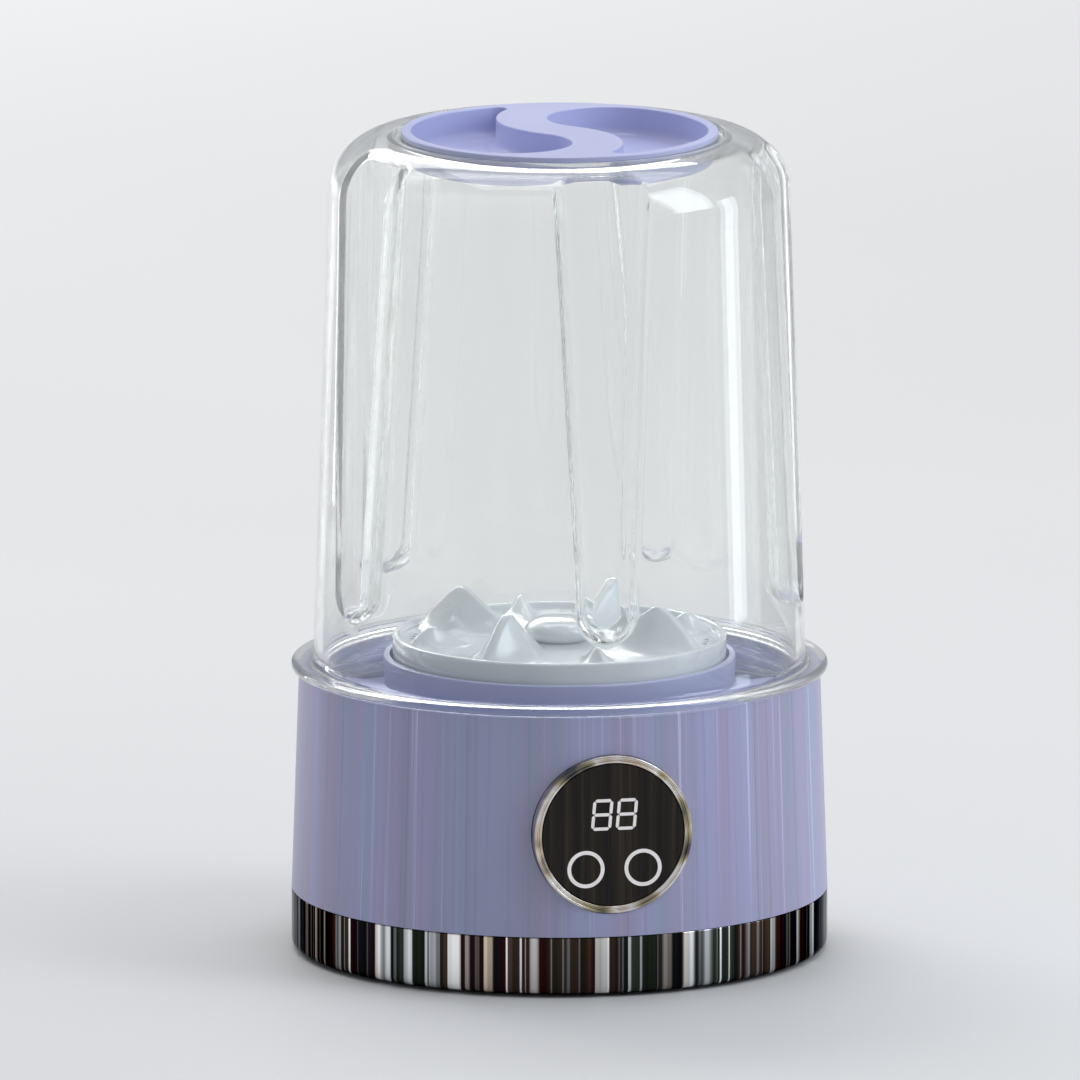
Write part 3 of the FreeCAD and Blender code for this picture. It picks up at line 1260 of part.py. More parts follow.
def charge_board_back():
    """Inner end of the charge board."""
    return PORT_FRONT - PORT_DEPTH / 2 - CHARGE_BOARD_LENGTH


def charge_post_spots():
    """Where the charge board is screwed down."""
    y = charge_board_back() + POST_INSET
    return [(side * (CHARGE_BOARD_WIDTH / 2 - POST_RADIUS), y) for side in (-1, 1)]


def charge_board():
    """Small board behind the charge socket."""
    low = charge_board_bottom()
    body = block((-CHARGE_BOARD_WIDTH / 2, CHARGE_BOARD_WIDTH / 2),
                 (charge_board_back(), PORT_FRONT - PORT_DEPTH / 2),
                 (low, low + CHARGE_BOARD_THICK))
    return body.cut([cylinder(SMALL_SCREW_RADIUS, low, low + CHARGE_BOARD_THICK, *spot)
                     for spot in charge_post_spots()])


def charge_board_screws():
    """Two screws of the charge board."""
    top = charge_board_bottom() + CHARGE_BOARD_THICK
    return down_screws(charge_post_spots(), top, CHARGE_BOARD_THICK)


def charge_socket():
    """Metal-shelled socket with a contact tongue."""
    back = PORT_FRONT - PORT_DEPTH
    wall = 0.3
    body = port_shape(PORT_WIDTH, PORT_THICK, back, PORT_FRONT)
    hollow = port_shape(PORT_WIDTH - 2 * wall, PORT_THICK - 2 * wall, back + 1.2, PORT_FRONT)
    tongue = block((-3.3, 3.3), (back + 1.0, PORT_FRONT - 0.6),
                   (PORT_HEIGHT - 0.35, PORT_HEIGHT + 0.35))
    return fuse(body.cut(hollow), tongue)


# ---- leads ----
def lead(points, radius):
    """A round lead along straight runs joined by tangent arcs."""
    corners = [Vector(*point) for point in points]
    edges = []
    here = corners[0]
    for before, corner, after in zip(corners, corners[1:], corners[2:]):
        come = (before - corner).normalize()
        go = (after - corner).normalize()
        half_turn = (math.pi - come.getAngle(go)) / 2
        run = 0.45 * min((before - corner).Length, (after - corner).Length)
        bend = run / math.tan(half_turn)
        start, end = corner + come * run, corner + go * run
        inward = (come + go).normalize()
        centre = corner + inward * (bend / math.cos(half_turn))
        edges.append(Part.LineSegment(here, start).toShape())
        edges.append(Part.Arc(start, centre - inward * bend, end).toShape())
        here = end
    edges.append(Part.LineSegment(here, corners[-1]).toShape())
    path = Part.Wire(edges)
    heading = corners[1] - corners[0]
    section = Part.Wire(Part.makeCircle(radius, corners[0], heading))
    return path.makePipeShell([section], True, False)


def motor_lead_x():
    """X of the motor's two terminal tabs."""
    return [MOTOR_X - LEAD_SPACING, MOTOR_X + LEAD_SPACING]


def motor_leads():
    """Two leads from the motor's tabs to their terminal on the board."""
    x0, y0 = TERMINAL_SPOTS[2]
    height = MOTOR_BOTTOM + MOTOR_CAP / 2 + 0.2
    leads = []
    for side, x in zip((-1, 1), motor_lead_x()):
        end_x = x0 + side * TERMINAL_SIZE[0] / 4
        route = [
            (x, MOTOR_RADIUS + 1.6, height),
            (x, y0 - 17.0, height),
            (x - 5.0, y0 - 8.0, height - 0.5),
            (end_x, y0, height - 1.5),
            (end_x, y0, TERMINAL_TOP),
        ]
        leads.append(lead(route, LEAD_RADIUS))
    return Part.makeCompound(leads)


def battery_leads():
    """Two leads from the left contact strip to their terminal on the board."""
    x0, y0 = TERMINAL_SPOTS[1]
    strip = -(CELL_LENGTH / 2 + 0.9 + CONTACT_THICK / 2)
    top = COVER_TOP + TRAY_HEIGHT + 7.0
    leads = []
    for side, swing, rise in ((-1, 0.0, 11.0), (1, 8.0, 8.0)):
        y = CELL_ROW_Y + side * LEAD_SPACING
        end_x = x0 + side * TERMINAL_SIZE[0] / 4
        route = [
            (strip, y, top),
            (strip, y, top + rise - 2.0),
            (strip + swing - 1.0, y + 17.0, top + rise),
            (strip + swing + 4.0, y0 - 18.0, top + rise - 1.0),
            (end_x, y0, top + rise - 4.0),
            (end_x, y0, TERMINAL_TOP),
        ]
        leads.append(lead(route, LEAD_RADIUS))
    return Part.makeCompound(leads)


def display_cable():
    """Cable from the display board round the battery to the main board."""
    x0, y0 = TERMINAL_SPOTS[0]
    back = LENS_FRONT - LENS_THICK - LED_THICK - BOARD_THICK
    route = [
        (-8.0, -back, DISPLAY_HEIGHT - 6.0),
        (-8.0, -back + 16.0, DISPLAY_HEIGHT - 6.0),
        (-24.0, -50.0, DISPLAY_HEIGHT - 9.0),
        (-42.0, -34.0, DISPLAY_HEIGHT - 13.0),
        (-48.0, -8.0, DISPLAY_HEIGHT - 19.0),
        (-43.0, 18.0, DISPLAY_HEIGHT - 20.0),
        (x0, y0, DISPLAY_HEIGHT - 21.0),
        (x0, y0, TERMINAL_TOP),
    ]
    return lead(route, CABLE_RADIUS)


PIECES = {
    "base_shell": base_shell,
    "chrome_band": chrome_band,
    "bottom_cover": bottom_cover,
    "rubber_feet": rubber_feet,
    "bottom_screws": bottom_screws,
    "wash_well": wash_well,
    "shaft_seal": shaft_seal,
    "upper_bearing": lambda: bearing(UPPER_BEARING_LOW),
    "lower_bearing": lambda: bearing(LOWER_BEARING_LOW),
    "tub_seal": tub_seal,
    "tub": tub,
    "lid": lid,
    "lid_gasket": lid_gasket,
    "pulsator": pulsator,
    "hub_cap": hub_cap,
    "pulsator_screw": pulsator_screw,
    "drive_shaft": drive_shaft,
    "output_gear": output_gear,
    "motor_pinion": motor_pinion,
    "gear_case": gear_case,
    "gear_case_cover": gear_case_cover,
    "gear_case_screws": gear_case_screws,
    "motor_can": motor_can,
    "motor_end_cap": motor_end_cap,
    "motor_magnets": motor_magnets,
    "motor_shaft": motor_shaft,
    "rotor_core": rotor_core,
    "motor_screws": motor_screws,
    "display_bezel": display_bezel,
    "display_lens": display_lens,
    "digit_segments": digit_segments,
    "touch_key_rings": touch_key_rings,
    "display_housing": display_housing,
    "display_board": display_board,
    "led_module": led_module,
    "display_screws": display_screws,
    "battery_cells": battery_cells,
    "battery_tray": battery_tray,
    "battery_contacts": battery_contacts,
    "main_board": main_board,
    "board_components": board_components,
    "board_screws": board_screws,
    "charge_board": charge_board,
    "charge_socket": charge_socket,
    "charge_board_screws": charge_board_screws,
    "motor_leads": motor_leads,
    "battery_leads": battery_leads,
    "display_cable": display_cable,
}

os.makedirs("parts", exist_ok=True)
for name, make in PIECES.items():
    shape = make()
    if not shape.isValid():
        print("NOT VALID", name)
    print(f"{name}: {len(shape.Solids)} solids, {shape.Volume:.1f} mm3")
    shape.exportStep(f"parts/{name}.step")
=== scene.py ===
import bpy
import json
import math
import numpy as np
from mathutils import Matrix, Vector


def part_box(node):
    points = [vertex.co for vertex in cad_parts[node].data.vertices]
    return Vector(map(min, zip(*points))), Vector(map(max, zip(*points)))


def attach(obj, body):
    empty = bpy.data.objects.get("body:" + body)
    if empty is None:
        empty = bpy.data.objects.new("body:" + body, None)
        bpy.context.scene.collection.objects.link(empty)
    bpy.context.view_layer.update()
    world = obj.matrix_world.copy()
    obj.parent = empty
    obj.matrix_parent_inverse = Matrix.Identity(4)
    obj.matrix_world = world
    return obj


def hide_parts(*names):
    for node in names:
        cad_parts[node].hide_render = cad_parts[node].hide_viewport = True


# Portable mini washer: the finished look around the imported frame. Metres, +Z up, the
# tub's axis on Z, the display towards -Y and the charge socket towards +Y.

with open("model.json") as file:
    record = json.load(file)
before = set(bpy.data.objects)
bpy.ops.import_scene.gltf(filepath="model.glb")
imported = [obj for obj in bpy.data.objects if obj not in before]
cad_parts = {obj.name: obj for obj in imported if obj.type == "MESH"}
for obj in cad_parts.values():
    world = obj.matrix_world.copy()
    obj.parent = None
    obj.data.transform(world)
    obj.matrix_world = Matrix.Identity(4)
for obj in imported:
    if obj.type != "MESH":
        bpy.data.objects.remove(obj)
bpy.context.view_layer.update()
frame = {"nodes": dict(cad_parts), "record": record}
MM = 0.001


def top_of(node):
    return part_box(node)[1][2]


def foot_of(node):
    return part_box(node)[0][2]


def reach_of(node):
    """Radius of a round node about the tub's axis."""
    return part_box(node)[1][0]


# ---- node trees: numbers with ordinary arithmetic ----
class Number:
    """A number that flows through a node tree."""

    def __init__(self, tree, socket):
        self.tree = tree
        self.socket = socket

    def do(self, operation, *others):
        node = self.tree.nodes.new("ShaderNodeMath")
        node.operation = operation
        for place, value in enumerate((self,) + others):
            feed(self.tree, node.inputs[place], value)
        return Number(self.tree, node.outputs[0])

    def __add__(self, other):
        return self.do("ADD", other)

    def __radd__(self, other):
        return self.do("ADD", other)

    def __sub__(self, other):
        return self.do("SUBTRACT", other)

    def __rsub__(self, other):
        return self.do("MULTIPLY", -1.0).do("ADD", other)

    def __mul__(self, other):
        return self.do("MULTIPLY", other)

    def __truediv__(self, other):
        return self.do("DIVIDE", other)

    def __pow__(self, other):
        return self.do("POWER", other)

    def least(self, other):
        return self.do("MINIMUM", other)

    def most(self, other):
        return self.do("MAXIMUM", other)

    def clear_of_zero(self):
        return self.do("MAXIMUM", 0.0)


def feed(tree, socket, value):
    """Links a node's output to a socket, or sets the socket's own value."""
    if isinstance(value, Number):
        value = value.socket
    if isinstance(value, bpy.types.NodeSocket):
        tree.links.new(value, socket)
    else:
        socket.default_value = value


def split(tree, vector):
    node = tree.nodes.new("ShaderNodeSeparateXYZ")
    tree.links.new(vector, node.inputs[0])
    return [Number(tree, out) for out in node.outputs]


def join(tree, x, y, z):
    node = tree.nodes.new("ShaderNodeCombineXYZ")
    for socket, value in zip(node.inputs, (x, y, z)):
        feed(tree, socket, value)
    return node.outputs[0]


# ---- meshes ----
def finished(name, mesh, finish, body, replaced=()):
    """Puts a mesh in the scene as a piece that rides on a body."""
    mesh.name = name
    piece = bpy.data.objects.new(name, mesh)
    bpy.context.scene.collection.objects.link(piece)
    if finish:
        mesh.materials.clear()
        mesh.materials.append(finish)
    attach(piece, body)
    if replaced:
        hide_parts(*replaced)
    return piece


def net(rings):
    """A closed mesh through rings of points, an array of rings x steps x 3.

    The last ring joins the first. The rings run anticlockwise as seen in (r, z).
    """
    count, steps = rings.shape[:2]
    ring = np.arange(count)[:, None]
    step = np.arange(steps)[None, :]
    after, beside = (ring + 1) % count, (step + 1) % steps
    quads = np.stack([ring * steps + step, ring * steps + beside,
                      after * steps + beside, after * steps + step], -1).reshape(-1, 4)
    mesh = bpy.data.meshes.new("net")
    mesh.vertices.add(count * steps)
    mesh.vertices.foreach_set("co", rings.reshape(-1).astype(np.float32))
    mesh.loops.add(len(quads) * 4)
    mesh.loops.foreach_set("vertex_index", quads.reshape(-1).astype(np.int32))
    mesh.polygons.add(len(quads))
    mesh.polygons.foreach_set("loop_start", np.arange(0, len(quads) * 4, 4, dtype=np.int32))
    mesh.polygons.foreach_set("use_smooth", np.ones(len(quads), dtype=bool))
    mesh.update(calc_edges=True)
    mesh.validate()
    return mesh


def softened(corners, bits=5):
    """A closed outline in mm with each corner rounded by its own radius.

    corners are (r, z, radius).
    """
    points = []
    for k, (x, y, radius) in enumerate(corners):
        here = Vector((x, y))
        to_last = Vector(corners[k - 1][:2]) - here
        to_next = Vector(corners[(k + 1) % len(corners)][:2]) - here
        if radius <= 0:
            points.append(here)
            continue
        half = to_last.angle(to_next) / 2
        cut = min(radius / math.tan(half), to_last.length * 0.49, to_next.length * 0.49)
        a = here + to_last.normalized() * cut
        b = here + to_next.normalized() * cut
        for step in range(bits + 1):
            t = step / bits
            points.append(a.lerp(here, t).lerp(here.lerp(b, t), t))
    return np.array([tuple(p) for p in points])


def turned(outline, steps=360):
    """A mesh turned about the tub's axis from an outline in mm, clockwise as seen in (r, z)."""
    turn = np.linspace(0.0, 2 * math.pi, steps, endpoint=False)
    r, z = outline[::-1, 0:1] * MM, outline[::-1, 1:2] * MM
    rings = np.stack([r * np.cos(turn), r * np.sin(turn), z + 0 * turn], -1)
    return net(rings)


def spun(outline, steps=96):
    """A solid turned about Z from an outline in mm that starts and ends on the axis.

    The outline runs from the top of the axis outwards and back to the foot of the axis.
    """
    verts = [(0.0, 0.0, outline[0][1] * MM)]
    for r, z in outline[1:-1]:
        for a in np.linspace(0.0, 2 * math.pi, steps, endpoint=False):
            verts.append((r * math.cos(a) * MM, r * math.sin(a) * MM, z * MM))
    verts.append((0.0, 0.0, outline[-1][1] * MM))
    faces = []
    for k in range(steps):
        beside = (k + 1) % steps
        faces.append((0, 1 + k, 1 + beside))
        for ring in range(len(outline) - 3):
            above, below = 1 + ring * steps, 1 + (ring + 1) * steps
            faces.append((above + k, below + k, below + beside, above + beside))
        last = 1 + (len(outline) - 3) * steps
        faces.append((len(verts) - 1, last + beside, last + k))
    mesh = bpy.data.meshes.new("spun")
    mesh.from_pydata(verts, [], faces)
    mesh.polygons.foreach_set("use_smooth", [True] * len(faces))
    return mesh


def shaped(blank, tree, **sizes):
    """Runs a geometry tree over a mesh and returns the result as a plain mesh.

    sizes are the tree's named inputs.
    """
    carrier = bpy.data.objects.new("carrier", blank)
    bpy.context.scene.collection.objects.link(carrier)
    work = carrier.modifiers.new("shape", "NODES")
    work.node_group = tree
    for item in tree.interface.items_tree:
        if item.item_type == "SOCKET" and item.in_out == "INPUT" and item.name in sizes:
            work[item.identifier] = sizes[item.name]
    graph = bpy.context.evaluated_depsgraph_get()
    graph.update()
    mesh = bpy.data.meshes.new_from_object(carrier.evaluated_get(graph))
    bpy.data.objects.remove(carrier)
    return mesh


class GeometryTree:
    """A geometry node tree with named number inputs."""

    def __init__(self, name, *inputs):
        self.tree = bpy.data.node_groups.new(name, "GeometryNodeTree")
        face = self.tree.interface
        face.new_socket("Geometry", in_out="INPUT", socket_type="NodeSocketGeometry")
        for label in inputs:
            kind = "NodeSocketInt" if label.startswith("How many") else "NodeSocketFloat"
            face.new_socket(label, in_out="INPUT", socket_type=kind)
        face.new_socket("Geometry", in_out="OUTPUT", socket_type="NodeSocketGeometry")
        self.entry = self.tree.nodes.new("NodeGroupInput")
        self.exit = self.tree.nodes.new("NodeGroupOutput")

    def value(self, label):
        return Number(self.tree, self.entry.outputs[label])

    def add(self, kind, inputs=None, out=0, **settings):
        """Adds a node and returns one of its outputs; inputs go by name or number."""
        node = self.tree.nodes.new(kind)
        for key, setting in settings.items():
            setattr(node, key, setting)
        for key, value in (inputs or {}).items():
            feed(self.tree, node.inputs[key], value)
        return node.outputs[out]

    def end(self, geometry, finish):
        """Ends the tree in real geometry with its material."""
        real = self.add("GeometryNodeRealizeInstances", {0: geometry})
        node = self.tree.nodes.new("GeometryNodeSetMaterial")
        node.inputs["Material"].default_value = finish
        self.tree.links.new(real, node.inputs["Geometry"])
        self.tree.links.new(node.outputs[0], self.exit.inputs[0])
        return self.tree


# ---- finishes ----
class Finish:
    """A material's node tree round one Principled shader."""

    def __init__(self, name, rough=0.4, metal=0.0, coat=0.0, coat_rough=0.05, ior=1.48,
                 specular=0.5):
        self.material = bpy.data.materials.new(name)
        self.material.use_nodes = True
        self.tree = self.material.node_tree
        self.shader = self.tree.nodes["Principled BSDF"]
        for socket, value in (("Roughness", rough), ("Metallic", metal),
                              ("Coat Weight", coat), ("Coat Roughness", coat_rough),
                              ("IOR", ior), ("Specular IOR Level", specular)):
            self.shader.inputs[socket].default_value = value
        self.place = self.tree.nodes.new("ShaderNodeTexCoord").outputs["Object"]

    def upright(self, scale, height_scale):
        """Coordinates that hardly change with height, for streaks that run up the wall."""
        x, y, z = split(self.tree, self.place)
        round_the_axis = join(self.tree, x, y, 0.0)
        unit = self.tree.nodes.new("ShaderNodeVectorMath")
        unit.operation = "NORMALIZE"
        self.tree.links.new(round_the_axis, unit.inputs[0])
        ux, uy, _ = split(self.tree, unit.outputs[0])
        return join(self.tree, ux * scale, uy * scale, z * height_scale)

    def stretched(self, sx, sy, sz):
        node = self.tree.nodes.new("ShaderNodeMapping")
        node.inputs["Scale"].default_value = (sx, sy, sz)
        self.tree.links.new(self.place, node.inputs["Vector"])
        return node.outputs[0]

    def noise(self, at=None, scale=1.0, detail=2.0, rough=0.5):
        node = self.tree.nodes.new("ShaderNodeTexNoise")
        self.tree.links.new(at or self.place, node.inputs["Vector"])
        for socket, value in (("Scale", scale), ("Detail", detail), ("Roughness", rough)):
            node.inputs[socket].default_value = value
        return Number(self.tree, node.outputs[0])

    def ramp(self, factor, *stops):
        """Colours along a factor; stops are (place, (r, g, b))."""
        node = self.tree.nodes.new("ShaderNodeValToRGB")
        band = node.color_ramp
        while len(band.elements) < len(stops):
            band.elements.new(0.5)
        for element, (where, colour) in zip(band.elements, stops):
            element.position = where
            element.color = (*colour, 1.0)
        feed(self.tree, node.inputs[0], factor)
        return node.outputs[0]

    def mixed(self, share, first, second, how="MIX"):
        node = self.tree.nodes.new("ShaderNodeMix")
        node.data_type = "RGBA"
        node.blend_type = how
        feed(self.tree, node.inputs[0], share)
        for socket, value in ((node.inputs[6], first), (node.inputs[7], second)):
            feed(self.tree, socket, (*value, 1.0) if isinstance(value, tuple) else value)
        return node.outputs[2]

    def facing_away(self):
        """Rises from 0 to 1 as the surface turns edge-on."""
        node = self.tree.nodes.new("ShaderNodeLayerWeight")
        node.inputs["Blend"].default_value = 0.3
        return Number(self.tree, node.outputs["Facing"])

    def colour(self, value):
        feed(self.tree, self.shader.inputs["Base Color"], value)
        return self

    def roughness(self, value):
        feed(self.tree, self.shader.inputs["Roughness"], value)
        return self

    def bump(self, height, depth, strength=1.0):
        node = self.tree.nodes.new("ShaderNodeBump")
        node.inputs["Distance"].default_value = depth
        node.inputs["Strength"].default_value = strength
        feed(self.tree, node.inputs["Height"], height)
        self.tree.links.new(node.outputs[0], self.shader.inputs["Normal"])
        return self


def lavender_plastic():
    """Pearly lavender enamel on the shell, with fine painted reflection streaks drawn upwards
    and painted shade where it turns edge-on.
    """
    f = Finish("lavender_plastic", rough=0.3, coat=0.15, coat_rough=0.08, specular=0.22)
    wide = f.noise(f.upright(6.0, 1.0), detail=2.0)
    fine = f.noise(f.upright(45.0, 2.0), detail=3.0, rough=0.7)
    tint = f.noise(f.upright(14.0, 1.5), detail=1.0)
    base = f.ramp(wide, (0.3, (0.335, 0.33, 0.475)), (0.7, (0.37, 0.39, 0.62)))
    # painted reflection: fine upright streaks, darker and up to 1.75 times brighter than the
    # enamel, stand in for reflections running up the wall
    painted_streaks = f.ramp(fine, (0.28, (0.78, 0.78, 0.78)), (0.42, (1.0, 1.0, 1.0)),
                   (0.6, (1.0, 1.0, 1.0)), (0.66, (1.3, 1.3, 1.26)),
                   (0.7, (1.75, 1.75, 1.6)))
    warm = f.ramp(tint, (0.35, (0.92, 1.0, 0.95)), (0.65, (1.05, 0.97, 1.0)))
    # painted shade: the colour darkens where the surface turns edge-on
    painted_edge_shade = f.ramp(f.facing_away(), (0.45, (1.0, 1.0, 1.0)), (0.9, (0.72, 0.71, 0.76)))
    streaked = f.mixed(1.0, f.mixed(1.0, base, painted_streaks, "MULTIPLY"), warm, "MULTIPLY")
    f.colour(f.mixed(1.0, streaked, painted_edge_shade, "MULTIPLY"))
    f.roughness(0.24 + fine * 0.14)
    return f.bump(f.noise(scale=2600.0, detail=1.0), 0.00002, 0.2).material


def moulded_lavender():
    """The same lavender in bare moulded plastic, for the well and the lid."""
    f = Finish("moulded_lavender", rough=0.28, coat=0.35, coat_rough=0.1)
    cloud = f.noise(scale=22.0, detail=3.0)
    f.colour(f.ramp(cloud, (0.3, (0.42, 0.44, 0.68)), (0.7, (0.49, 0.515, 0.77))))
    f.roughness(0.26 + f.noise(scale=160.0, detail=2.0) * 0.12)
    return f.bump(f.noise(scale=1800.0, detail=1.0), 0.00002, 0.15).material


def polished_band():
    """Mirror-bright band with painted reflections: bold light and dark streaks drawn upwards in
    its colour.
    """
    f = Finish("polished_band", rough=0.1, metal=1.0)
    f.shader.inputs["Specular Tint"].default_value = (0.35, 0.35, 0.37, 1.0)
    # painted reflection: the light and dark streaks below stand in for the surroundings mirrored
    # in the band
    reflection_stripes = f.noise(f.upright(8.0, 0.1), detail=2.0, rough=0.55)
    tint = f.noise(f.upright(5.0, 0.1), detail=1.0)
    fine = f.noise(f.upright(30.0, 0.1), detail=1.0, rough=0.8)
    dark = f.ramp(tint, (0.36, (0.022, 0.028, 0.02)), (0.44, (0.004, 0.004, 0.005)),
                  (0.5, (0.045, 0.03, 0.02)), (0.55, (0.03, 0.005, 0.006)),
                  (0.62, (0.008, 0.009, 0.012)))
    light = f.ramp(tint, (0.38, (0.75, 0.77, 0.79)), (0.46, (0.36, 0.38, 0.39)),
                   (0.52, (1.0, 1.0, 1.0)), (0.6, (0.46, 0.38, 0.29)))
    bright = f.ramp(reflection_stripes, (0.33, (0.7, 0.7, 0.7)), (0.37, (0.0, 0.0, 0.0)),
                    (0.445, (0.0, 0.0, 0.0)), (0.455, (0.35, 0.35, 0.35)),
                    (0.475, (0.0, 0.0, 0.0)), (0.535, (0.0, 0.0, 0.0)),
                    (0.545, (1.0, 1.0, 1.0)), (0.57, (0.9, 0.9, 0.9)),
                    (0.58, (0.02, 0.02, 0.02)), (0.65, (0.0, 0.0, 0.0)),
                    (0.66, (1.0, 1.0, 1.0)))
    painted_streaks = f.ramp(fine, (0.38, (0.5, 0.5, 0.5)), (0.55, (1.0, 1.0, 1.0)),
                   (0.66, (1.6, 1.6, 1.6)))
    f.colour(f.mixed(1.0, f.mixed(bright, dark, light), painted_streaks, "MULTIPLY"))
    return f.bump(f.noise(f.upright(300.0, 1.0)), 0.00001, 0.2).material


def polished_bezel():
    """Bright ring with painted reflections: dark and bright patches with a faint gold cast that
    come and go round it.
    """
    f = Finish("polished_bezel", rough=0.16, metal=1.0)
    # painted reflection: near-black and bright patches in the metal's colour stand in for what
    # the ring mirrors
    cast = f.noise(f.stretched(60.0, 60.0, 60.0), detail=2.0)
    f.colour(f.ramp(cast, (0.35, (0.10, 0.10, 0.10)), (0.45, (0.46, 0.40, 0.26)),
                    (0.52, (0.82, 0.80, 0.78)), (0.62, (0.62, 0.50, 0.40)),
                    (0.7, (0.12, 0.12, 0.13))))
    return f.bump(f.noise(scale=900.0), 0.00002, 0.2).material


def black_panel():
    """Smoked glossy panel, faintly streaked brown and olive."""
    f = Finish("black_panel", rough=0.08, specular=0.2)
    streak = f.noise(f.stretched(420.0, 30.0, 6.0), detail=3.0, rough=0.7)
    f.colour(f.ramp(streak, (0.30, (0.004, 0.004, 0.005)), (0.45, (0.011, 0.007, 0.006)),
                    (0.55, (0.018, 0.013, 0.009)), (0.68, (0.035, 0.026, 0.014))))
    return f.material


def lit_marks():
    """White marks lit from behind, faintly uneven."""
    f = Finish("lit_marks", rough=0.3)
    glow = f.ramp(f.noise(scale=500.0), (0.3, (0.78, 0.74, 0.73)), (0.7, (0.86, 0.83, 0.82)))
    f.colour(glow)
    feed(f.tree, f.shader.inputs["Emission Color"], glow)
    f.shader.inputs["Emission Strength"].default_value = 0.15
    return f.material


def glossy_white():
    """Polished white moulding of the pulsator, faintly blue-grey."""
    f = Finish("white_plastic", rough=0.16, coat=0.7, coat_rough=0.04)
    cloud = f.noise(scale=45.0, detail=2.0)
    f.colour(f.ramp(cloud, (0.3, (0.72, 0.755, 0.775)), (0.7, (0.80, 0.83, 0.85))))
    f.roughness(0.13 + f.noise(scale=300.0) * 0.08)
    return f.bump(f.noise(scale=110.0, detail=1.0), 0.0002, 0.12).material


def clear_plastic():
    """Polished clear plastic that lets light through, with painted shade that greys it where it
    turns edge-on.
    """
    tint = (0.955, 0.965, 0.955)
    f = Finish("clear_plastic", rough=0.008, ior=1.2, coat=0.8, coat_rough=0.03)
    f.shader.inputs["Transmission Weight"].default_value = 1.0
    flow = f.noise(f.upright(5.0, 12.0), detail=1.0)
    # painted shade: greyer where the surface turns edge-on
    painted_edge_grey = f.ramp(f.facing_away(), (0.45, (1.0, 1.0, 1.0)), (0.8, (0.88, 0.89, 0.89)),
                   (0.97, (0.60, 0.61, 0.61)))
    body = f.ramp(flow, (0.3, tint), (0.7, tuple(c + 0.02 for c in tint)))
    f.colour(f.mixed(1.0, body, painted_edge_grey, "MULTIPLY"))
    f.bump(f.noise(f.upright(6.0, 2.0), detail=0.0), 0.0001, 0.03)
    path = f.tree.nodes.new("ShaderNodeLightPath")
    passing = Number(f.tree, path.outputs["Is Shadow Ray"]).most(
        Number(f.tree, path.outputs["Is Diffuse Ray"])).most(0.1)
    through = f.tree.nodes.new("ShaderNodeBsdfTransparent")
    through.inputs[0].default_value = (0.93, 0.94, 0.935, 1.0)
    mix = f.tree.nodes.new("ShaderNodeMixShader")
    feed(f.tree, mix.inputs[0], passing)
    f.tree.links.new(f.shader.outputs[0], mix.inputs[1])
    f.tree.links.new(through.outputs[0], mix.inputs[2])
    f.tree.links.new(mix.outputs[0], f.tree.nodes["Material Output"].inputs["Surface"])
    return f.material


def plain_plastic(name, dark, light, rough, scale=120.0, grain=1500.0):
    """Moulded plastic or rubber with a clouded colour and a fine grain."""
    f = Finish(name, rough=rough)
    f.colour(f.ramp(f.noise(scale=scale, detail=3.0), (0.3, dark), (0.7, light)))
    f.roughness(rough - 0.06 + f.noise(scale=grain / 4) * 0.12)
    return f.bump(f.noise(scale=grain), 0.00004, 0.3).material


def machined(name, dark, light, rough=0.3):
    """Bare metal with turning marks across Z."""
    f = Finish(name, rough=rough, metal=1.0)
    marks = f.noise(f.stretched(60.0, 60.0, 2600.0), detail=2.0)
    f.colour(f.ramp(marks, (0.3, dark), (0.7, light)))
    f.roughness(rough - 0.08 + marks * 0.16)
    return f.bump(marks, 0.00001, 0.4).material


def circuit_board():
    """Green solder mask with paler tracks under it."""
    f = Finish("circuit_board", rough=0.35, coat=0.5)
    tracks = f.tree.nodes.new("ShaderNodeTexBrick")
    f.tree.links.new(f.stretched(1.0, 1.0, 0.0), tracks.inputs["Vector"])
    for socket, value in (("Scale", 260.0), ("Mortar Size", 0.06)):
        tracks.inputs[socket].default_value = value
    tracks.inputs["Color1"].default_value = (0.02, 0.16, 0.07, 1.0)
    tracks.inputs["Color2"].default_value = (0.025, 0.2, 0.09, 1.0)
    tracks.inputs["Mortar"].default_value = (0.05, 0.3, 0.14, 1.0)
    f.colour(tracks.outputs["Color"])
    return f.material


def wound_wire():
    """Enamelled copper wire wound over dark iron."""
    f = Finish("winding", rough=0.35, metal=0.8)
    _, _, z = split(f.tree, f.place)
    turns = (z * 9000.0).do("SINE") * 0.5 + 0.5
    f.colour(f.ramp(turns, (0.2, (0.12, 0.04, 0.015)), (0.8, (0.62, 0.28, 0.11))))
    return f.bump(turns, 0.0001, 0.5).material


def studio_floor():
    """Pale floor with a barely visible mottle."""
    f = Finish("studio_floor", rough=0.6, specular=0.25)
    f.colour(f.ramp(f.noise(scale=1.5, detail=2.0), (0.3, (0.60, 0.60, 0.60)),
                    (0.7, (0.625, 0.625, 0.625))))
    return f.material


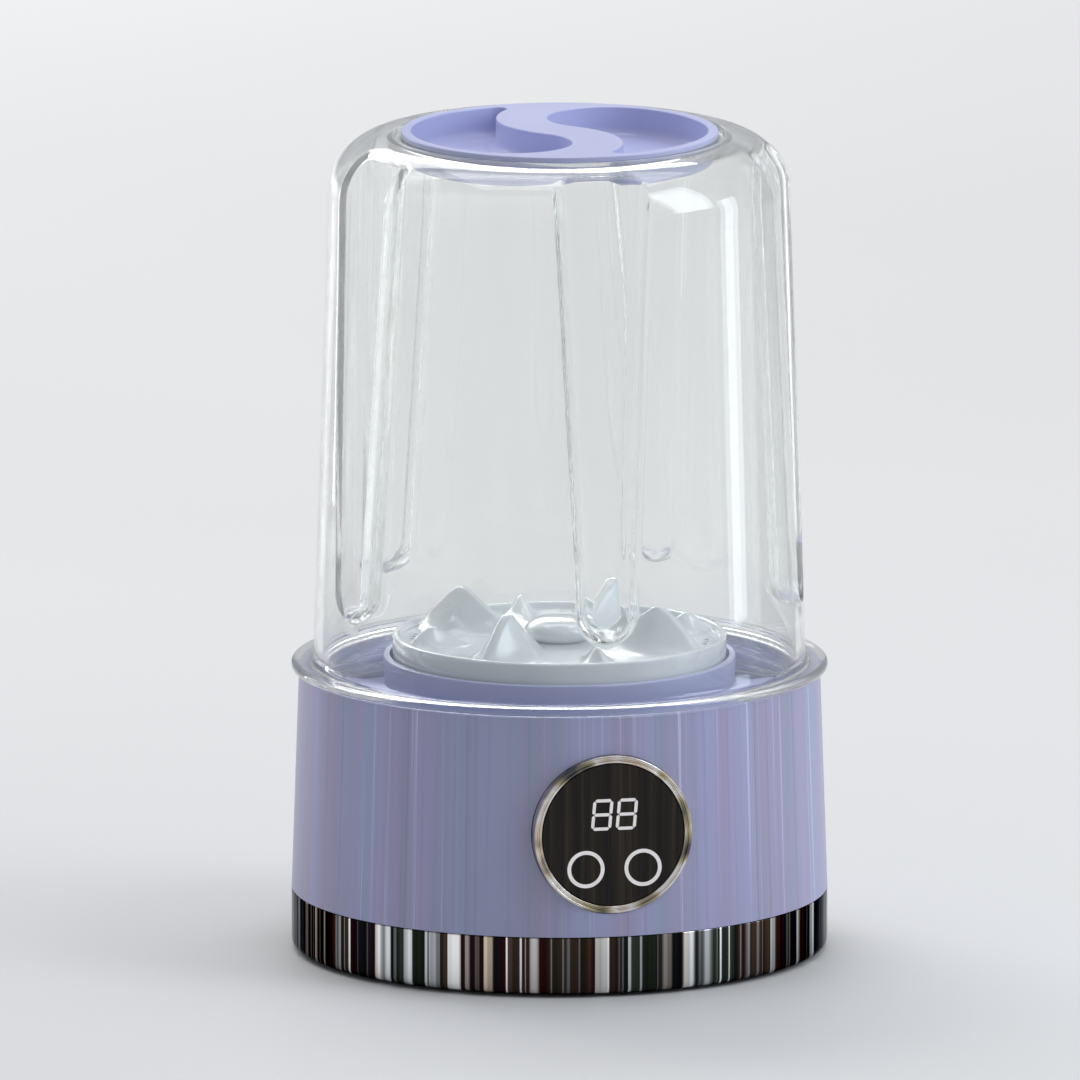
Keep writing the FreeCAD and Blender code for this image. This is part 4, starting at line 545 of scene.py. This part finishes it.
FINISHES = {
    "lavender_plastic": lavender_plastic(),
    "polished_band": polished_band(),
    "polished_bezel": polished_bezel(),
    "clear_plastic": clear_plastic(),
    "white_plastic": glossy_white(),
    "soft_seal": plain_plastic("soft_seal", (0.26, 0.26, 0.31), (0.32, 0.32, 0.37), 0.5),
    "black_rubber": plain_plastic("black_rubber", (0.016, 0.016, 0.016),
                                  (0.028, 0.028, 0.028), 0.75),
    "black_panel": black_panel(),
    "lit_marks": lit_marks(),
    "grey_cover": plain_plastic("grey_cover", (0.075, 0.075, 0.085), (0.10, 0.10, 0.11), 0.6),
    "steel": machined("steel", (0.42, 0.42, 0.43), (0.58, 0.58, 0.60)),
    "gear_plastic": plain_plastic("gear_plastic", (0.62, 0.60, 0.53), (0.70, 0.68, 0.61), 0.45),
    "pinion_brass": machined("pinion_brass", (0.50, 0.34, 0.12), (0.66, 0.47, 0.18), 0.28),
    "circuit_board": circuit_board(),
    "board_parts": plain_plastic("board_parts", (0.012, 0.012, 0.014), (0.02, 0.02, 0.022), 0.5),
    "magnet": plain_plastic("magnet", (0.015, 0.015, 0.016), (0.03, 0.03, 0.032), 0.7, 600.0),
    "winding": wound_wire(),
    "cell_wrap": plain_plastic("cell_wrap", (0.012, 0.06, 0.24), (0.018, 0.08, 0.30), 0.3),
    "nickel_strip": machined("nickel_strip", (0.46, 0.44, 0.40), (0.60, 0.58, 0.54), 0.25),
    "red_lead": plain_plastic("red_lead", (0.34, 0.008, 0.008), (0.42, 0.014, 0.012), 0.4),
    "grey_cable": plain_plastic("grey_cable", (0.10, 0.10, 0.11), (0.13, 0.13, 0.14), 0.45),
}
MOULDED_LAVENDER = moulded_lavender()

for part in frame["record"]["subparts"]:
    node = frame["nodes"][part["node"]]
    finish = FINISHES[part["material_slot"]]
    if part["node"] in ("wash_well", "lid"):
        finish = MOULDED_LAVENDER
    node.data.materials.clear()
    node.data.materials.append(finish)


# ---- clear tub ----
TUB_WALL = 2.75
TUB_DRAFT = math.radians(1.9)
TUB_FOOT = 77.0               # outside radius at the top of the flange
SHOULDER = 18.0               # rounding between wall and top
FLANGE_TOP = 91.5
FLANGE_FOOT = 89.0
SKIRT = 75.6                  # outside radius of the threaded skirt
SKIRT_BORE = 73.4
FLUTES = 5
FLUTE_LOW_CENTRE = 118.9      # middle of a flute's round lower end
FLUTE_HALF = 5.4
FLUTE_FLARE = math.radians(2.8)
FLUTE_LEAN = math.radians(2.4)
FLUTE_FLOOR = 68.8            # from the axis, at the round lower end
FLUTE_ROUND = 3.0
FLUTE_MOUTH_SLOPE = 3.2       # how steeply its surface leaves the tub's wall
FLUTE_EDGE_BLEND = 1.3


def flute_depth(y, z, grow):
    """How far from the axis a flute's surface stands, over (y, z) in its own frame."""
    up = z - FLUTE_LOW_CENTRE
    half = FLUTE_HALF + grow
    flank = np.abs(y) * math.cos(FLUTE_FLARE) - up * math.sin(FLUTE_FLARE) - half
    end = np.hypot(y, up) - half
    beyond = np.abs(y) * math.sin(FLUTE_FLARE) + up * math.cos(FLUTE_FLARE)
    inside = -np.where(beyond > 0, flank, end) + 0.7
    cove = FLUTE_ROUND + grow
    hollow = np.clip(inside, 0, cove)
    rise = cove - np.sqrt(cove ** 2 - (cove - hollow) ** 2)
    rise = rise + np.where(inside < 0, -inside * FLUTE_MOUTH_SLOPE, 0.0)
    return FLUTE_FLOOR - grow - up * math.tan(FLUTE_LEAN) + rise


def soft_least(a, b, blend):
    """The lesser of two arrays with the corner between them rounded."""
    h = np.clip(0.5 + 0.5 * (b - a) / blend, 0, 1)
    return b + (a - b) * h - blend * h * (1 - h)


def fluted_ring(r, z, grow, fluted):
    """One ring of the tub, with closer points along each flute's flanks."""
    sector = math.pi / FLUTES
    up = max(z - FLUTE_LOW_CENTRE, 0.0)
    flank = FLUTE_HALF + grow + up * math.tan(FLUTE_FLARE)
    near = flank + np.array([-4.6, -4.0, -3.4, -2.9, -2.4, -1.9, -1.4, -0.9, -0.4,
                             0.1, 0.6, 1.1, 1.6, 2.2, 3.0])
    middle = np.array([0.0, 0.4]) * near[0] + 0.0
    far = near[-1] + (sector * r - near[-1]) * (np.arange(1, 14) / 13.0) ** 1.15
    half = np.concatenate([middle, near, far]) / r
    angles = np.concatenate([-half[:0:-1][1:], half])
    points = []
    for k in range(FLUTES):
        turn = 1.5 * math.pi + 2 * math.pi * k / FLUTES
        x, y = r * np.cos(angles), r * np.sin(angles)
        if fluted:
            x = soft_least(x, flute_depth(y, z, grow), FLUTE_EDGE_BLEND)
        points.append(np.stack([x * math.cos(turn) - y * math.sin(turn),
                                x * math.sin(turn) + y * math.cos(turn),
                                np.full_like(x, z)], -1))
    return np.concatenate(points) * MM


def wall_heights(low, high):
    """Heights up the wall, closer together round the flutes' lower ends."""
    return np.concatenate([np.linspace(low, 109.0, 5), np.linspace(110.0, 124.0, 29),
                           np.linspace(128.0, high, 22)])


def tub_shape():
    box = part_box("tub")
    top = box[1][2] / MM
    flange = box[1][1] / MM - 0.02
    skirt_low = box[0][2] / MM

    def side(grow, round_radius):
        """(r, z) up the wall and over the shoulder."""
        ceiling = top - grow
        wall = TUB_FOOT - grow
        centre_z = ceiling - round_radius
        high = centre_z + round_radius * math.sin(TUB_DRAFT)
        run = [(wall - (z - FLANGE_TOP) * math.tan(TUB_DRAFT), z)
               for z in wall_heights(94.0, high)]
        centre_r = run[-1][0] - round_radius * math.cos(TUB_DRAFT)
        for a in np.radians(np.linspace(6.0, 90.0, 24)):
            run.append((centre_r + round_radius * math.cos(a),
                        centre_z + round_radius * math.sin(a)))
        return run

    outer = side(0.0, SHOULDER)
    inner = side(TUB_WALL, SHOULDER - TUB_WALL)
    skirt_and_flange = [
        (SKIRT_BORE, skirt_low + 0.4), (73.8, skirt_low), (75.2, skirt_low),
        (SKIRT, skirt_low + 0.4), (SKIRT, 82.0), (SKIRT, 86.0), (SKIRT, 88.6),
        (76.0, FLANGE_FOOT), (78.0, FLANGE_FOOT), (81.0, FLANGE_FOOT),
        (flange - 0.9, FLANGE_FOOT), (flange - 0.3, 89.2), (flange, 89.8), (flange, 90.6),
        (flange - 0.25, 91.2), (flange - 0.9, FLANGE_TOP), (81.0, FLANGE_TOP),
        (78.6, FLANGE_TOP), (77.6, 91.8), (77.1, 92.6)]
    mouth = [(52.2, top), (51.7, top - 0.15), (51.5, top - 0.6), (51.5, top - 1.4),
             (51.3, top - 1.6), (49.8, top - 1.6), (48.6, top - 1.65), (48.2, top - 2.0),
             (48.2, top - 4.1), (48.6, top - 4.5), (51.0, top - 4.5), (52.6, top - 4.5),
             (53.0, top - 4.2), (53.0, top - 3.1), (53.3, top - TUB_WALL)]
    inside_foot = [(74.2, 92.6), (74.15, FLANGE_TOP), (73.8, 90.2),
                   (SKIRT_BORE, FLANGE_FOOT), (SKIRT_BORE, 85.0), (SKIRT_BORE, 82.0)]
    rings = [fluted_ring(r, z, 0.0, False) for r, z in skirt_and_flange]
    rings += [fluted_ring(r, z, 0.0, True) for r, z in outer]
    rings += [fluted_ring(r, z, 0.0, False) for r, z in mouth]
    rings += [fluted_ring(r, z, TUB_WALL, True) for r, z in reversed(inner)]
    rings += [fluted_ring(r, z, TUB_WALL, False) for r, z in inside_foot]
    return net(np.stack(rings))


finished("clear_tub", tub_shape(), FINISHES["clear_plastic"], "tub",
         ["tub"])


# ---- pulsator ----
PULSATOR_FLOOR = 97.5
PULSATOR_RIM = 99.7
PULSATOR_SKIRT = 92.0
PULSATOR_UNDERSIDE = 95.3
HUB, HUB_BORE = 8.0, 3.2


def disc_blank():
    """The wash disc before its fins rise: floor, rim, skirt and hub."""
    rim, low = reach_of("pulsator") / MM, foot_of("pulsator") / MM
    inside = rim - 1.8
    corners = [(inside, PULSATOR_FLOOR, 0.8), (inside, PULSATOR_RIM, 0.7),
               (rim, PULSATOR_RIM, 0.8), (rim, PULSATOR_SKIRT, 0.4),
               (inside, PULSATOR_SKIRT, 0.3), (inside, PULSATOR_UNDERSIDE, 0.6),
               (HUB, PULSATOR_UNDERSIDE, 0.6), (HUB, low, 0.3), (HUB_BORE, low, 0.0)]
    edge = softened(corners)
    floor = [(r, PULSATOR_FLOOR) for r in np.linspace(HUB_BORE, rim - 2.9, 110)]
    return turned(np.concatenate([np.array(floor), edge]), 480)


def fin_rise(g, x, y, label):
    """Height that one family of fins adds over the disc's floor at (x, y)."""
    count = g.value("How many fins")
    radius = (x * x + y * y) ** 0.5
    half_pitch = (count * (1 / math.pi)) ** -1.0
    angle = y.do("ARCTAN2", x) - g.value(label + " turn")
    near = angle.do("WRAP", half_pitch, half_pitch * -1.0)
    along = radius * near.do("COSINE")
    across = (radius * near.do("SINE")).do("ABSOLUTE")
    inner, peak = g.value(label + " inner"), g.value(label + " peak")
    outer = g.value("Outer")
    base, ridge = g.value(label + " base"), g.value(label + " ridge")
    from_inside = ((along - inner) / (peak - inner)).clear_of_zero()
    from_outside = ((outer - along) / (outer - peak)).clear_of_zero()
    crest = (from_inside ** 1.15).do("SMOOTH_MIN", from_outside ** 0.85, 0.5).clear_of_zero()
    swell = (base - ridge) * 0.5 * crest ** 0.55
    spread = ((across - ridge * 0.5) / swell.most(0.0001)).clear_of_zero().least(1.0)
    flank = ((1.0 - spread) ** 1.55).do("SMOOTH_MIN", 0.96, 0.12)
    return crest * flank * g.value(label + " height")


def wash_disc_tree(finish):
    """Raises tall and low fins round the disc's floor, then bores the drain holes."""
    families = [label + size for label in ("Tall", "Low")
                for size in (" turn", " inner", " peak", " height", " base", " ridge")]
    g = GeometryTree("wash_disc", "Floor", "Outer", "How many fins", "Drain circle",
                     "Drain radius", *families)
    x, y, z = split(g.tree, g.add("GeometryNodeInputPosition"))
    rise = fin_rise(g, x, y, "Tall").do("SMOOTH_MAX", fin_rise(g, x, y, "Low"), 0.0004)
    on_floor = (z - g.value("Floor")).do("ABSOLUTE").do("LESS_THAN", 0.00002)
    within = (x * x + y * y) ** 0.5
    lifted = rise * on_floor * within.do("LESS_THAN", g.value("Outer"))
    disc = g.add("GeometryNodeSetPosition",
                 {0: g.entry.outputs[0], "Offset": join(g.tree, 0.0, 0.0, lifted)})
    # eight groups of three drain holes, one group between each pair of fins
    number = Number(g.tree, g.add("GeometryNodeInputIndex"))
    group = (number * (1 / 3)).do("FLOOR")
    beside = number - group * 3.0 - 1.0
    angle = (group * 45.0 + beside * 4.5 + 28.0) * (math.pi / 180.0)
    spot = join(g.tree, angle.do("COSINE") * g.value("Drain circle"),
                angle.do("SINE") * g.value("Drain circle"), g.value("Floor"))
    spots = g.add("GeometryNodePoints", {"Count": 24, "Position": spot})
    drill = g.add("GeometryNodeMeshCylinder", {"Vertices": 20, "Radius": g.value("Drain radius"),
                                               "Depth": 0.012})
    drills = g.add("GeometryNodeInstanceOnPoints", {"Points": spots, "Instance": drill})
    real_drills = g.add("GeometryNodeRealizeInstances", {0: drills})
    bored = g.add("GeometryNodeMeshBoolean", {"Mesh 1": disc, "Mesh 2": real_drills},
                  operation="DIFFERENCE", solver="MANIFOLD")
    return g.end(bored, finish)


disc_mesh = shaped(
    disc_blank(), wash_disc_tree(FINISHES["white_plastic"]), **{
        "Floor": PULSATOR_FLOOR * MM, "Outer": 50.0 * MM, "How many fins": 4,
        "Drain circle": 46.0 * MM, "Drain radius": 1.0 * MM,
        "Tall turn": math.radians(50.5), "Tall inner": 13.0 * MM, "Tall peak": 35.0 * MM,
        "Tall height": 15.7 * MM, "Tall base": 24.0 * MM, "Tall ridge": 2.1 * MM,
        "Low turn": math.radians(5.5), "Low inner": 28.0 * MM, "Low peak": 42.0 * MM,
        "Low height": 7.2 * MM, "Low base": 13.0 * MM, "Low ridge": 1.1 * MM})
finished("wash_disc", disc_mesh, FINISHES["white_plastic"], "pulsator",
         ["pulsator"])

cap_low, cap_top = foot_of("hub_cap") / MM, top_of("hub_cap") / MM
cap_reach = reach_of("hub_cap") / MM
WAIST = 3.15                  # widest part of the cap, over its foot
pebble = [(0.0, cap_top)]
for lean in np.radians(np.linspace(84.0, -52.0, 30)):
    pebble.append((cap_reach * math.cos(lean) ** 0.75,
                   cap_low + WAIST + (cap_top - cap_low - WAIST) * math.sin(lean)))
pebble += [(6.8, cap_low), (0.0, cap_low)]
finished("hub_pebble", spun(pebble), FINISHES["white_plastic"], "pulsator",
         ["hub_cap"])


# ---- polished band and display ring ----
BAND_WALL, BAND_LIP = 1.5, 4.9
band_low, band_top = foot_of("chrome_band") / MM, top_of("chrome_band") / MM
outside = reach_of("chrome_band") / MM
inside, lip = outside - BAND_WALL, outside - BAND_LIP
band = softened([(outside, band_top, 0.45), (outside, band_low, 3.3),
                 (lip, band_low, 0.3), (lip, band_low + BAND_WALL, 0.3),
                 (inside, band_low + BAND_WALL, 1.6), (inside, band_top, 0.3)], 7)
finished("polished_foot_band", turned(band, 480), FINISHES["polished_band"], "base",
         ["chrome_band"])


RING_DEPTH = 4.6


def display_ring():
    """Bright ring with a rolled front, a fine groove and a thin inner lip."""
    low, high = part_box("display_bezel")
    front, reach = -low[1] / MM, high[0] / MM
    middle = (low[2] + high[2]) / 2 / MM
    back = front - RING_DEPTH
    outline = softened([(reach, back, 0.1), (reach, front - 0.05, 0.7),
                        (reach - 0.95, front, 0.5), (reach - 1.15, front - 0.55, 0.1),
                        (reach - 1.45, front - 0.55, 0.1), (reach - 1.65, front - 0.15, 0.25),
                        (reach - 2.25, front - 0.2, 0.25), (reach - 2.6, front - 0.75, 0.2),
                        (reach - 2.6, back, 0.1)], 5)
    turn = np.linspace(0.0, 2 * math.pi, 360, endpoint=False)
    r, d = outline[:, 0:1], outline[:, 1:2]
    x, y, z = r * np.cos(turn), -d + 0 * turn, middle + r * np.sin(turn)
    return net(np.stack([x, y, z], -1) * MM)


finished("display_ring", display_ring(), FINISHES["polished_bezel"], "base",
         ["display_bezel"])


# ---- what repeats: the tub's thread, the cover's screws and its rubber pads ----
def round_the_axis(g, piece, how_many, circle, start):
    """Copies of a piece, evenly spaced on a circle and turned to face outwards."""
    number = Number(g.tree, g.add("GeometryNodeInputIndex"))
    turn = number * (2 * math.pi) / how_many + start
    spots = g.add("GeometryNodePoints", {
        "Count": how_many,
        "Position": join(g.tree, turn.do("COSINE") * circle, turn.do("SINE") * circle, 0.0)})
    facing = g.add("FunctionNodeEulerToRotation", {0: join(g.tree, 0.0, 0.0, turn)})
    return g.add("GeometryNodeInstanceOnPoints",
                 {"Points": spots, "Instance": piece, "Rotation": facing})


def bar(length, corners, cuts):
    """A straight bar along X with its outline in (y, z); both ends are closed."""
    verts = [(length * k / cuts, y, z) for k in range(cuts + 1) for y, z in corners]
    count = len(corners)
    faces = [tuple(range(count)), tuple(cuts * count + k for k in range(count))[::-1]]
    for k in range(cuts):
        for side in range(count):
            beside = (side + 1) % count
            faces.append((k * count + side, (k + 1) * count + side,
                          (k + 1) * count + beside, k * count + beside))
    mesh = bpy.data.meshes.new("bar")
    mesh.from_pydata(verts, [], faces)
    return mesh


def thread_tree(finish):
    """Winds a straight ridge up a round wall, run out at both ends, once for each start."""
    g = GeometryTree("thread", "How many starts", "Wall", "Lead", "Rise", "Foot", "Run out")
    x, y, z = split(g.tree, g.add("GeometryNodeInputPosition"))
    rise = g.value("Rise")
    turn = x * rise / g.value("Lead") * (2 * math.pi)
    run_out = (x / g.value("Run out")).least((1.0 - x) / g.value("Run out"))
    height = run_out.clear_of_zero().least(1.0) ** 0.5
    out = g.value("Wall") + y.clear_of_zero() * height + y.least(0.0)
    wound = g.add("GeometryNodeSetPosition", {0: g.entry.outputs[0], "Position": join(
        g.tree, turn.do("COSINE") * out, turn.do("SINE") * out,
        z + g.value("Foot") + x * rise)})
    return g.end(round_the_axis(g, wound, g.value("How many starts"), 0.0, 0.0), finish)


ridge = bar(1.0, [(-0.0002, -0.00085), (0.0009, -0.0006), (0.00125, -0.0003),
                  (0.00125, 0.0003), (0.0009, 0.0006), (-0.0002, 0.00085)], 160)
finished("thread_ridges", shaped(ridge, thread_tree(FINISHES["clear_plastic"]), **{
    "How many starts": 3, "Wall": SKIRT * MM, "Lead": 12.0 * MM, "Rise": 6.4 * MM,
    "Foot": 80.0 * MM, "Run out": 0.08}), None, "tub")


def screw_tree(finish):
    """Cuts a cross into a screw's head and sets the screws into the cover."""
    g = GeometryTree("cover_screws", "How many screws", "Circle", "Start", "Cross", "Slot",
                     "Cross depth", "Head face")
    blades = []
    for size in ((g.value("Cross"), g.value("Slot")), (g.value("Slot"), g.value("Cross"))):
        cube = g.add("GeometryNodeMeshCube", {
            "Size": join(g.tree, *size, g.value("Cross depth") * 2.0)})
        blades.append(g.add("GeometryNodeTransform", {
            0: cube, "Translation": join(g.tree, 0.0, 0.0, g.value("Head face"))}))
    cut = g.tree.nodes.new("GeometryNodeMeshBoolean")
    cut.operation, cut.solver = "DIFFERENCE", "MANIFOLD"
    g.tree.links.new(g.entry.outputs[0], cut.inputs["Mesh 1"])
    for blade in blades:
        g.tree.links.new(blade, cut.inputs["Mesh 2"])
    return g.end(round_the_axis(g, cut.outputs[0], g.value("How many screws"),
                                g.value("Circle"), g.value("Start")), finish)


SHANK, SCREW_CIRCLE = 1.45, 70.0
head, tip = foot_of("bottom_screws") / MM, top_of("bottom_screws") / MM
screw = [(0.0, tip - 0.1), (0.5, tip - 0.3), (SHANK, tip - 2.2), (SHANK, head + 2.2),
         (1.6, head + 1.82), (2.7, head + 1.78), (2.95, head + 1.5), (2.97, head + 1.0),
         (2.75, head + 0.5), (2.2, head + 0.15), (1.6, head + 0.03), (0.0, head + 0.02)]
finished("cover_screws", shaped(spun(screw, 40), screw_tree(FINISHES["steel"]), **{
    "How many screws": 4, "Circle": SCREW_CIRCLE * MM, "Start": math.radians(45.0),
    "Cross": 3.2 * MM, "Slot": 0.75 * MM, "Cross depth": 1.1 * MM,
    "Head face": head * MM}), None, "base", ["bottom_screws"])


def pad_tree(finish):
    """Rounds of shallow grooves under a rubber pad, and the pads set round the cover."""
    g = GeometryTree("grooved_pads", "How many pads", "Circle", "Groove pitch",
                     "Groove depth", "Sole", "Grooved to")
    x, y, z = split(g.tree, g.add("GeometryNodeInputPosition"))
    radius = (x * x + y * y) ** 0.5
    wave = (radius / g.value("Groove pitch") * (2 * math.pi)).do("COSINE") * -0.5 + 0.5
    on_sole = z.do("LESS_THAN", g.value("Sole"))
    sunk = wave * g.value("Groove depth") * on_sole * radius.do("LESS_THAN",
                                                                g.value("Grooved to"))
    grooved = g.add("GeometryNodeSetPosition", {
        0: g.entry.outputs[0], "Offset": join(g.tree, 0.0, 0.0, sunk)})
    return g.end(round_the_axis(g, grooved, g.value("How many pads"), g.value("Circle"), 0.0),
                 finish)


PAD, PAD_CIRCLE, GROOVED_TO = 7.95, 62.0, 7.2
pad_top = top_of("rubber_feet") / MM
pad = [(0.0, pad_top), (7.6, pad_top), (PAD, pad_top - 0.3), (PAD, 0.5), (7.8, 0.2),
       (7.5, 0.02)] + [(r, 0.0) for r in np.linspace(GROOVED_TO, 0.15, 48)] + [(0.0, 0.0)]
finished("grooved_pads", shaped(spun(pad, 64), pad_tree(FINISHES["black_rubber"]), **{
    "How many pads": 4, "Circle": PAD_CIRCLE * MM, "Groove pitch": 1.8 * MM,
    "Groove depth": 0.45 * MM, "Sole": 0.01 * MM, "Grooved to": GROOVED_TO * MM}), None, "base",
    ["rubber_feet"])


# ---- floor, light and camera ----
def studio():
    """Wide plain floor."""
    half = 16.0
    mesh = bpy.data.meshes.new("studio_floor")
    mesh.from_pydata([(-half, -half, 0.0), (half, -half, 0.0), (half, half, 0.0),
                      (-half, half, 0.0)], [], [(0, 1, 2, 3)])
    mesh.materials.append(studio_floor())
    floor = bpy.data.objects.new("studio_floor", mesh)
    bpy.context.scene.collection.objects.link(floor)


studio()


def softbox(name, place, aim, width, height, power, colour=(1.0, 1.0, 1.0),
            reflected=True):
    lamp = bpy.data.lights.new(name, "AREA")
    lamp.shape = "RECTANGLE"
    lamp.size, lamp.size_y = width, height
    lamp.energy = power
    lamp.color = colour
    holder = bpy.data.objects.new(name, lamp)
    holder.visible_glossy = reflected
    holder.location = place
    holder.rotation_euler = (Vector(aim) - Vector(place)).to_track_quat("-Z", "Y").to_euler()
    bpy.context.scene.collection.objects.link(holder)


AIM = (0.0, 0.0, 0.12)
COOL = (0.86, 0.93, 1.0)
softbox("key_right", (1.3, -0.75, 1.1), AIM, 0.7, 1.3, 12.0, COOL)
softbox("strip_right", (0.62, -0.12, 0.22), AIM, 0.10, 0.40, 0.45, COOL)
softbox("overhead", (0.1, 0.3, 1.9), AIM, 1.6, 1.2, 16.0)
softbox("strip_left", (-0.45, 0.66, 0.3), AIM, 0.05, 0.6, 0.4)
softbox("floor_wash", (-0.5, 3.4, 2.0), (-0.3, 2.6, 0.0), 3.4, 2.0, 110.0,
        reflected=False)
bpy.context.scene.view_settings.view_transform = "Standard"

world = bpy.data.worlds.new("soft_room")
world.use_nodes = True
world.node_tree.nodes["Background"].inputs["Color"].default_value = (0.93, 0.95, 1.0, 1.0)
world.node_tree.nodes["Background"].inputs["Strength"].default_value = 0.45
bpy.context.scene.world = world

AZIMUTH, ELEVATION, DISTANCE = math.radians(-11.5), math.radians(10.8), 9.375
LOOK_HEIGHT, LOOK_ASIDE = 0.129, -0.0061
camera_data = bpy.data.cameras.new("camera")
camera_data.lens, camera_data.sensor_width = 1000.0, 36.0
camera_data.clip_end = 40.0
camera = bpy.data.objects.new("camera", camera_data)
target = Vector((LOOK_ASIDE * math.cos(AZIMUTH), LOOK_ASIDE * math.sin(AZIMUTH), LOOK_HEIGHT))
sight = Vector((math.sin(AZIMUTH) * math.cos(ELEVATION),
                -math.cos(AZIMUTH) * math.cos(ELEVATION), math.sin(ELEVATION)))
camera.location = target + sight * DISTANCE
camera.rotation_euler = (-sight).to_track_quat("-Z", "Y").to_euler()
bpy.context.scene.collection.objects.link(camera)
bpy.context.scene.camera = camera
